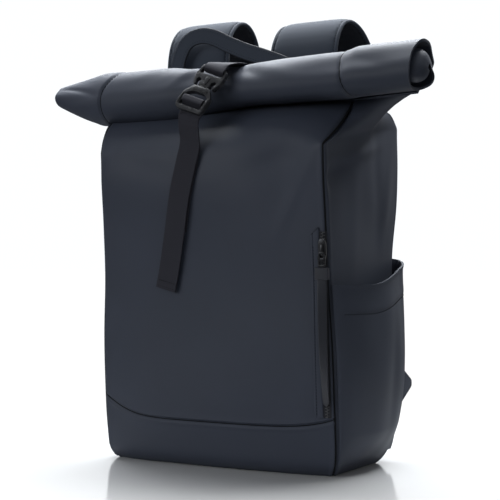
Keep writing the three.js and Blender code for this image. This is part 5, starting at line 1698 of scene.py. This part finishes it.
    def build(self) -> None:
        """Makes both straps and both halves of the buckle."""
        section = section_points(self.width, self.thick, 0.22, 28)
        front, back = self.front_path(), self.back_path()
        solid, rear = Solid(), Solid()
        reach = along_path(front)
        hem = smooth(reach[-1] - 9, reach[-1] - 8, reach)
        thicker = np.stack([np.ones(len(front)), 1 + 0.9 * hem], -1)[:, None]
        wide = mix(self.across, self.across_high, smooth(345, 372, front[:, 2])[:, None])
        add_band(solid, front, wide, section[None] * thicker)
        solid.piece("closure_strap_front_webbing", WEBBING, ["closure_strap_front"])
        share = smooth(0.4, 0.6, np.linspace(0, 1, len(back)))[:, None]
        add_band(rear, back, mix(self.across_high, X_AXIS, share), section)
        rear.piece("closure_strap_back_webbing", WEBBING, ["closure_strap_back"])
        self.stitch(front)
        self.socket()
        self.plug()

    def stitch(self, front: Array) -> None:
        """Sews across the free end and the anchor of the front webbing."""
        solid = Solid()
        reach = along_path(front)
        wide = self.across * np.linspace(-0.42, 0.42, 12)[:, None] * self.width
        for place, lift in ((reach[-1] - 8.5, 1.45), (reach[-1] - 2.5, 1.45), (5.0, 0.8), (14.0, 0.8)):
            centre = at_reach(front, reach, np.array([place]))
            add_stitches(solid, centre + wide - Y_AXIS * lift, -Y_AXIS, 2.6, 1.9, 0.34)
        solid.piece("closure_stitches", THREAD_AND_SHADE_CORD)

    def socket(self) -> None:
        """Makes the lower half: a frame with its crossbar, an arched window, and shoulders down to the waist."""
        wide, half, thick = self.buckle[0] / 2, self.half, self.buckle[2]
        low, arch, join = self.low, self.arch, self.join
        slot = self.width / 2 + 1
        outline = [
            (wide - 3, -half), (wide, -half + 4), (wide, arch - 4), (wide * 0.62, join - 2), (wide * 0.5, join),
        ]
        window = [(-slot, self.bar), (-slot, arch - 5), (-slot * 0.85, arch - 3), (-slot * 0.45, arch)]
        holes = [mirrored([(-slot, low - self.slot), (-slot, low)]), mirrored(window)]
        solid = Solid()
        add_plate(solid, mirrored(outline), holes, thick, 0.9, self.plane, 2.4)
        raised = self.plane.raised(thick / 2 + 0.3)
        inside, outside, foot, head = wide - 2.4, wide - 0.6, 6 - half, arch - 5
        rail = np.array([(inside, foot), (outside, foot), (outside, head), (inside, head)])
        add_plate(solid, rail, [], 1.2, 0.35, raised, 0.8)
        add_plate(solid, (rail * (-1, 1))[::-1], [], 1.2, 0.35, raised, 0.8)
        crown = mirrored([(wide * 0.58, arch + 1.5), (wide * 0.42, join - 1.5)])
        add_plate(solid, crown, [], 1.4, 0.5, raised, 2.0)
        solid.piece("buckle_socket_plastic", PLASTIC, ["buckle_socket"], 30.0)

    def plug(self) -> None:
        """Makes the upper half: its slotted head, the spring arms and the middle tongue."""
        wide, half, thick = self.buckle[0] / 2, self.half, self.buckle[2]
        bar, join, slot = self.high, self.join, self.width / 2 + 1
        slot_low, foot = bar - self.slot, join + 0.5
        outline = mirrored([
            (self.waist / 2, foot), (self.waist / 2, join + 8), (wide * 0.62, slot_low - 5.5),
            (wide * 0.72, join + 7), (wide * 0.6, foot), (wide * 0.75, foot), (wide * 0.92, join + 7),
            (wide * 0.97, slot_low - 1), (wide * 0.9, half - 2), (wide * 0.8, half),
        ])
        solid = Solid()
        add_plate(solid, outline, [mirrored([(-slot, slot_low), (-slot, bar)])], thick, 0.8, self.plane, 1.6)
        rib = mirrored([(1.6, foot + 1.5), (2.6, slot_low - 3.5)])
        add_plate(solid, rib, [], 1.2, 0.4, self.plane.raised(thick / 2 + 0.35), 1.2)
        head = mirrored([(wide * 0.78, bar + 0.9), (wide * 0.74, half - 0.9)])
        add_plate(solid, head, [], 1.0, 0.35, self.plane.raised(thick / 2 + 0.25), 0.8)
        solid.piece("buckle_plug_plastic", PLASTIC, ["buckle_plug"], 30.0)


@dataclass
class CarryHandle:
    """A flat band sewn behind the roll that has flopped to the left, with piped edges."""

    form: BagForm = FORM
    width: float = 18.0
    thick: float = 3.0
    y: float = -10.0
    left: float = -86.0
    right: float = 72.0
    rise: float = 70.0
    route: tuple = (
        (0.0, -0.14), (0.0, 0.3), (0.02, 0.66), (0.09, 0.92), (0.2, 1.0), (0.31, 0.95),
        (0.42, 0.83), (0.56, 0.69), (0.72, 0.56), (0.9, 0.38), (0.98, 0.16), (1.0, -0.14),
    )

    def path(self) -> Array:
        """The handle's middle line, from its left root over the top to its right root."""
        across, rise = np.array(self.route).T
        points = vec(
            mix(self.left, self.right, across),
            self.y,
            self.form.roll_centre[1] + self.rise * rise - self.width * 0.2,
        )
        for index, x in ((0, self.left), (-1, self.right)):
            points[index, 2] = self.form.on_back_neck(x, self.y - self.thick / 2, 0.5)[2]
        return smooth_path(points, 14)

    def build(self) -> None:
        """Makes the band, its piped edges and its two rows of stitches."""
        path = self.path()
        tangent = unit(np.gradient(path, axis=0))
        out = -Y_AXIS
        across = np.cross(out, tangent)
        solid = Solid()
        section = section_points(self.width - 1.4, self.thick, 0.34, 30)
        add_band(solid, path, across, section)
        solid.piece("carry_handle_band", PADDED, ["carry_handle"])
        piping, stitches = Solid(), Solid()
        for way in (-1, 1):
            edge = path + across * way * (self.width / 2 - 1.1)
            add_tube(piping, edge[1:-1], 1.15, 10)
            row = path + across * way * (self.width / 2 - 3.4) + out * (self.thick / 2 - 0.05)
            add_stitches(stitches, row[3:-3], out, 3.2, 2.2, 0.32)
        piping.piece("carry_handle_piping", TAPE)
        stitches.piece("carry_handle_stitches", THREAD_AND_SHADE_CORD)


@dataclass
class ShoulderHarness:
    """Padded straps behind the bag, with their ladder locks, lower webbing and sewn tabs.

    Name is right or left, and side is 1 or -1 to match it.
    """

    form: BagForm = FORM
    root_width: float = 82.0
    foot_width: float = 62.0
    pad: float = 12.0
    root_x: float = 67.0
    foot_x: float = 88.0
    root_y: float = 12.0
    top: float = 484.0
    foot: float = 140.0
    hang: float = 122.0
    lock: tuple = (34.0, 26.0, 5.0)
    webbing: tuple = (20.0, 1.5)
    tab_low: float = 53.0
    tab_high: float = 108.0
    tab_reach: float = 52.0
    tab_thick: float = 2.4
    pocket: float = 9.0
    left_rise: float = 10.0
    route: tuple = (
        (0.05, 0.835), (0.03, 0.9), (0.09, 0.957), (0.22, 0.991), (0.38, 1.0), (0.56, 0.985),
        (0.73, 0.94), (0.85, 0.87), (0.92, 0.78), (0.97, 0.64), (1.0, 0.46),
    )

    def path(self, side: int) -> Array:
        """The strap's middle line, from its root behind the roll over the top to its foot."""
        high = self.top - self.pad / 2
        y, z = np.array(self.route).T
        y, z = np.append(y * self.hang, self.hang), np.append(z * high, self.foot)
        share = np.linspace(0, 1, len(y))
        points = vec(side * mix(self.root_x, self.foot_x, smooth(0.3, 1, share)), y, z)
        raised = self.left_rise if side < 0 else 0.0
        points[:, 2] += raised * smooth(0.0, 0.2, share) * (1 - smooth(0.5, 1.0, share))
        points[0, 1] = self.root_y
        points[0, 2] = self.form.on_back_neck(self.root_x, self.root_y - self.pad / 2, 0.5)[2] + self.pad / 8
        return resample(smooth_path(points, 10), 150)

    def widths(self, count: int) -> Array:
        """Width along the strap: root width to foot width with a smooth rise."""
        return mix(self.root_width, self.foot_width, smooth(0.1, 1, np.linspace(0, 1, count)))

    def build(self) -> None:
        """Makes both straps with what hangs on them."""
        for name, side in (("right", 1), ("left", -1)):
            self.strap(name, side)
            tip = self.tab(name, side)
            self.lower(name, side, tip)

    def strap(self, name: str, side: int) -> None:
        """Makes one padded strap: a flat core that pressure swells between its bound edges."""
        path = self.path(side)
        widths = self.widths(len(path))
        core = section_points(1.0, 1.0, 0.45, 36)
        ends = np.minimum(1, 0.55 + 6 * np.minimum(np.linspace(0, 1, len(path)), np.linspace(1, 0, len(path))))
        sizes = np.stack([widths - 5, (self.pad - 4.5) * ends], -1)[:, None]
        solid = Solid()
        add_band(solid, path, X_AXIS, core[None] * sizes)
        piece = solid.piece(f"shoulder_strap_{name}_pad", PADDED, [f"shoulder_strap_{name}"], 80.0)
        piece.data.materials.append(LINING.material())
        swell_pad(piece, path, widths, self.pad)
        self.line(piece, path)
        self.binding(name, path, widths)

    def line(self, piece: bpy.types.Object, path: Array) -> None:
        """Gives the strap's inner side the knit lining: faces that look towards the path's inner side.

        A face's side is the sign of its normal along the nearest path point's normal.
        """
        mesh = piece.data
        centres = np.empty(len(mesh.polygons) * 3)
        normals = np.empty(len(mesh.polygons) * 3)
        mesh.polygons.foreach_get("center", centres)
        mesh.polygons.foreach_get("normal", normals)
        tangent = unit(np.gradient(path, axis=0))
        inward = np.cross(X_AXIS, tangent)
        centres, normals = centres.reshape(-1, 3) / MM, normals.reshape(-1, 3)
        nearest = np.argmin(((centres[:, None, 1:] - path[None, ::3, 1:]) ** 2).sum(-1), axis=1) * 3
        facing = (normals * inward[nearest]).sum(1)
        mesh.polygons.foreach_set("material_index", (facing < -0.25).astype(np.int32))

    def binding(self, name: str, path: Array, widths: Array) -> None:
        """Sews a folded binding tape round both long edges of a strap: a rounded U in section."""
        tape, stitches = Solid(), Solid()
        tangent = unit(np.gradient(path, axis=0))
        wide = X_AXIS
        normal = np.cross(tangent, wide)
        inside = slice(1, -1)
        for way in (-1, 1):
            edge = path + wide * (way * (widths / 2 - 2.6))[:, None]
            section = section_points(4.6, 3.8, 0.8, 16)
            add_band(tape, edge[inside], wide, section)
            for face in (-1, 1):
                row = edge - wide * way * 1.2 + normal * face * 1.85
                add_stitches(stitches, row[3:-3], normal[3:-3] * face, 3.6, 2.4, 0.34)
        tape.piece(f"shoulder_binding_{name}", PADDED)
        stitches.piece(f"shoulder_stitches_{name}", THREAD_AND_SHADE_CORD)

    def tab(self, name: str, side: int) -> Array:
        """Makes the triangular tab of folded cloth in the rear seam, and returns its tip."""
        form = self.form
        pocket = self.pocket if side > 0 else 0.0
        middle = (self.tab_low + self.tab_high) / 2

        def seam(z: float) -> Array:
            """The rear corner seam at a height."""
            return form.corner(side, "back", np.array([z / form.back_height]))[0]

        tip_y = seam(middle)[1] + self.tab_reach
        place_x = side * (abs(seam(middle)[0]) - self.tab_thick)
        outline = np.array([
            (seam(self.tab_low)[1] + pocket + 1, self.tab_low), (tip_y, middle - 3.5),
            (tip_y, middle + 3.5), (seam(self.tab_high)[1] + pocket + 1, self.tab_high),
        ])
        solid = Solid()
        plane = Plane(X_AXIS * place_x, Y_AXIS, Z_AXIS, X_AXIS)
        add_plate(solid, outline, [], self.tab_thick, 0.7, plane, 3.0)
        piece = solid.piece(f"strap_tab_{name}_cloth", COATED, [f"strap_tab_{name}"])
        stitches = Solid()
        centre = outline.mean(0)
        inner = resample(np.concatenate([outline, outline[:1]]) * 0.82 + centre * 0.18, 90)
        for face in (-1, 1):
            row = vec(place_x + face * (self.tab_thick / 2 + 0.05), inner[:, 0], inner[:, 1])
            add_stitches(stitches, row, np.array([face, 0.0, 0.0]), 3.2, 2.2, 0.32)
        stitches.piece(f"strap_tab_{name}_stitches", THREAD_AND_SHADE_CORD)
        return np.array([place_x, tip_y, middle])

    def lower(self, name: str, side: int, tip: Array) -> None:
        """Makes the ladder lock at the strap's foot and the webbing from it to the tip of the tab."""
        wide, long, thick = self.lock
        centre = np.array([side * self.foot_x, self.hang, self.foot - 0.5 - long / 2])
        outline = mirrored([(wide / 2 - 2, long / 2), (wide / 2, long / 2 - 3), (wide / 2 - 1, -long / 2)])
        slots = [mirrored([(-11.0, y), (-11.0, y + 4)]) for y in (-9.5, -2.2, 5.2)]
        lock = Solid()
        add_plate(lock, outline, slots, thick, 0.8, Plane(centre, X_AXIS, Z_AXIS, -Y_AXIS), 2.0)
        lock.piece(f"ladder_lock_{name}_plastic", PLASTIC, [f"ladder_lock_{name}"], 30.0)
        width, thin = self.webbing
        start = centre + np.array([0, 0, -long / 2 - 0.5 - thin / 2])
        end = tip + np.array([-side * (self.tab_thick / 2 + 0.4 + thin / 2), -8.0, 0])
        below = start + np.array([0, 2.0, tip[2] - start[2] + 8.0])
        behind = end + np.array([-side * 8.0, self.hang / 5, 0])
        t = np.linspace(0, 1, 70)[:, None]
        path = (1 - t) ** 3 * start + 3 * t * (1 - t) ** 2 * below + 3 * t * t * (1 - t) * behind + t**3 * end
        turn = smooth(0, 1, t[:, 0]) * math.pi / 2
        solid = Solid()
        add_band(solid, path, vec(side * np.cos(turn), 0, np.sin(turn)), section_points(width, thin, 0.22, 24))
        solid.piece(f"strap_webbing_{name}_woven", WEBBING, [f"strap_webbing_{name}"])



def coordinates(mesh: bpy.types.Mesh) -> Array:
    """All of a mesh's points, in metres."""
    places = np.empty(len(mesh.vertices) * 3)
    mesh.vertices.foreach_get("co", places)
    return places.reshape(-1, 3)


def swell_pad(piece: bpy.types.Object, path: Array, widths: Array, pad: float, voxel: float = 4.0) -> None:
    """Swells a pad between its bound edges with a short cloth simulation, and keeps the result in its mesh.

    The mesh is made anew in even voxels, its edges are pinned, pressure fills it for 20 steps without gravity,
    no point moves further than the cap, and one subdivision follows.

    Args:
        piece: The pad.
        path: Its middle line.
        widths: Its width along that line.
        pad: Its full thickness; not used.
        voxel: Size of the even mesh.
    """
    remesh = piece.modifiers.new("even", "REMESH")
    remesh.mode = "VOXEL"
    remesh.voxel_size = voxel * MM
    remesh.use_smooth_shade = True
    view = bpy.context.evaluated_depsgraph_get()
    even = bpy.data.meshes.new_from_object(piece.evaluated_get(view))
    piece.modifiers.clear()
    finishes = list(piece.data.materials)
    piece.data = even
    even.materials.clear()
    for finish in finishes:
        even.materials.append(finish)
    start = coordinates(even)
    nearest = np.argmin(((start[:, None, 1:] / MM - path[None, :, 1:]) ** 2).sum(-1), axis=1)
    off = np.abs(start[:, 0] / MM - path[nearest, 0])
    share = off / (widths[nearest] / 2)
    pins = piece.vertex_groups.new(name="bound_edges")
    held = np.nonzero((share > 0.86) | (nearest < 2) | (nearest > len(path) - 3))[0]
    pins.add(held.tolist(), 1.0, "REPLACE")
    cloth = piece.modifiers.new("swell", "CLOTH")
    cloth.settings.quality = 5
    cloth.settings.mass = 0.3
    cloth.settings.use_pressure = True
    cloth.settings.uniform_pressure_force = 7.0
    cloth.settings.effector_weights.gravity = 0.0
    cloth.settings.vertex_group_mass = "bound_edges"
    cloth.point_cache.frame_start, cloth.point_cache.frame_end = 1, 20
    for step in range(1, 21):
        bpy.context.scene.frame_set(step)
    view = bpy.context.evaluated_depsgraph_get()
    swollen = coordinates(piece.evaluated_get(view).to_mesh())
    piece.modifiers.clear()
    piece.vertex_groups.clear()
    bpy.context.scene.frame_set(1)
    move = swollen - start
    reach = np.linalg.norm(move, axis=1, keepdims=True)
    start = start + move * np.minimum(1.0, 0.0045 / np.maximum(reach, 1e-9))
    even.vertices.foreach_set("co", start.ravel())
    even.update()
    even.shade_smooth()
    soft = piece.modifiers.new("soften", "SUBSURF")
    soft.levels = soft.render_levels = 1
    log.info("%s: %d points after swelling", piece.name, len(start))


@dataclass
class Studio:
    """Pale floor, soft lights and the camera at the photograph's angle."""

    azimuth: float = 30.26
    distance: float = 1403.3
    focal: float = 1276.9
    height: float = 212.8
    pitch: float = 0.68
    aim: float = 2.84

    def build(self) -> None:
        """Makes the camera, the floor and the lights."""
        self.camera()
        self.floor()
        self.lights()
        self.surroundings()
        bpy.context.scene.view_settings.view_transform = "Standard"

    def camera(self) -> None:
        """Places the camera: back · distance + right · aim at its height, looking slightly up."""
        turn, tip = math.radians(self.azimuth), math.radians(self.pitch)
        back = Vector((math.sin(turn), -math.cos(turn), 0))
        right = Vector((math.cos(turn), math.sin(turn), 0))
        ahead = -back * math.cos(tip) + Vector((0, 0, math.sin(tip)))
        data = bpy.data.cameras.new("camera")
        data.sensor_width = 36
        data.lens = self.focal / 500 * 36
        camera = bpy.data.objects.new("camera", data)
        camera.location = (back * self.distance + right * self.aim + Vector((0, 0, self.height))) * MM
        camera.rotation_mode = "QUATERNION"
        camera.rotation_quaternion = ahead.to_track_quat("-Z", "Y")
        bpy.context.scene.collection.objects.link(camera)
        bpy.context.scene.camera = camera

    def floor(self) -> None:
        """Lays a wide, pale, slightly glossy floor."""
        mesh = bpy.data.meshes.new("studio_floor")
        size = 40.0
        corners = [(-size, -size, 0), (size, -size, 0), (size, size, 0), (-size, size, 0)]
        mesh.from_pydata(corners, [], [(0, 1, 2, 3)])
        made = bpy.data.materials.new("studio_floor")
        made.use_nodes = True
        kit = NodeKit(made.node_tree)
        shader = made.node_tree.nodes["Principled BSDF"]
        place = kit.add("TexCoord").outputs["Object"]
        cloud = kit.noise(place, 3.0, 3.0)
        kit.tree.links.new(kit.ramp(cloud, 0.2, 0.8, 0.1, 0.13), shader.inputs["Roughness"])
        shader.inputs["IOR"].default_value = 1.7
        shader.inputs["Base Color"].default_value = (0.58, 0.58, 0.58, 1)
        shader.inputs["Specular IOR Level"].default_value = 0.5
        away = kit.add("VectorMath", {0: place}, operation="LENGTH").outputs["Value"]
        far = kit.ramp(away, 0.14, 0.6)
        seen = kit.add("LightPath").outputs["Is Camera Ray"]
        glow = kit.add("Emission", {"Color": (1, 1, 1, 1), "Strength": kit.ramp(seen, 0.0, 1.0, 0.12, 1.05)})
        blend = kit.add("MixShader", {0: far, 1: shader.outputs[0], 2: glow.outputs[0]})
        kit.tree.links.new(blend.outputs[0], made.node_tree.nodes["Material Output"].inputs["Surface"])
        mesh.materials.append(made)
        floor = bpy.data.objects.new("studio_floor", mesh)
        bpy.context.scene.collection.objects.link(floor)

    def light(self, name: str, power: float, size: tuple, place: tuple, aim: tuple) -> None:
        """Hangs one soft rectangular light.

        Args:
            name: Its name.
            power: Watts.
            size: Width and height in metres.
            place: Where it hangs.
            aim: The point that it faces.
        """
        data = bpy.data.lights.new(name, "AREA")
        data.shape = "RECTANGLE"
        data.size, data.size_y = size
        data.energy = power
        data.color = (0.93, 0.965, 1.0)
        lamp = bpy.data.objects.new(name, data)
        lamp.location = place
        lamp.rotation_mode = "QUATERNION"
        lamp.rotation_quaternion = (Vector(aim) - Vector(place)).to_track_quat("-Z", "Y")
        bpy.context.scene.collection.objects.link(lamp)

    def lights(self) -> None:
        """Hangs a broad light overhead, a weaker one at the front left and a dim one at the front right."""
        self.light("overhead", 80.0, (1.7, 0.8), (-0.2, 0.5, 1.55), (-0.05, 0.0, 0.35))
        self.light("front_left", 18.0, (1.5, 1.1), (-0.9, -2.0, 0.95), (0, 0, 0.25))
        self.light("front_right", 3.4, (1.2, 1.2), (2.3, -1.1, 0.9), (0, 0, 0.2))

    def surroundings(self) -> None:
        """Surrounds the scene with soft white, brighter where the camera looks straight at it."""
        world = bpy.data.worlds.new("surroundings")
        world.use_nodes = True
        world.node_tree.nodes.clear()
        kit = NodeKit(world.node_tree)
        seen = kit.add("LightPath").outputs["Is Camera Ray"]
        turn = math.radians(self.azimuth)
        look = kit.add("TexCoord").outputs["Generated"]
        view = (-math.sin(turn), math.cos(turn), 0.25)
        ahead = kit.add("VectorMath", {0: look, 1: view}, operation="DOT_PRODUCT")
        backdrop = kit.ramp(ahead.outputs["Value"], 0.65, 1.0, 0.24, 1.2)
        strength = kit.add("Mix", {0: seen, 2: backdrop, 3: 1.05}, data_type="FLOAT").outputs[0]
        sky = kit.add("Background", {"Color": (0.95, 0.975, 1.0, 1), "Strength": strength})
        kit.add("OutputWorld", {"Surface": sky.outputs[0]})
        bpy.context.scene.world = world


def main() -> None:
    """Builds the studio and every part of the bag, in order."""
    logging.basicConfig(level=logging.INFO, format="%(message)s")
    for part in (
        Studio(), BagShell(), ROLL, SidePocket(), ZipSet(), ClosureStrap(), CarryHandle(), ShoulderHarness(),
    ):
        log.info("building %s", type(part).__name__)
        part.build()


if __name__ == "__main__":
    main()
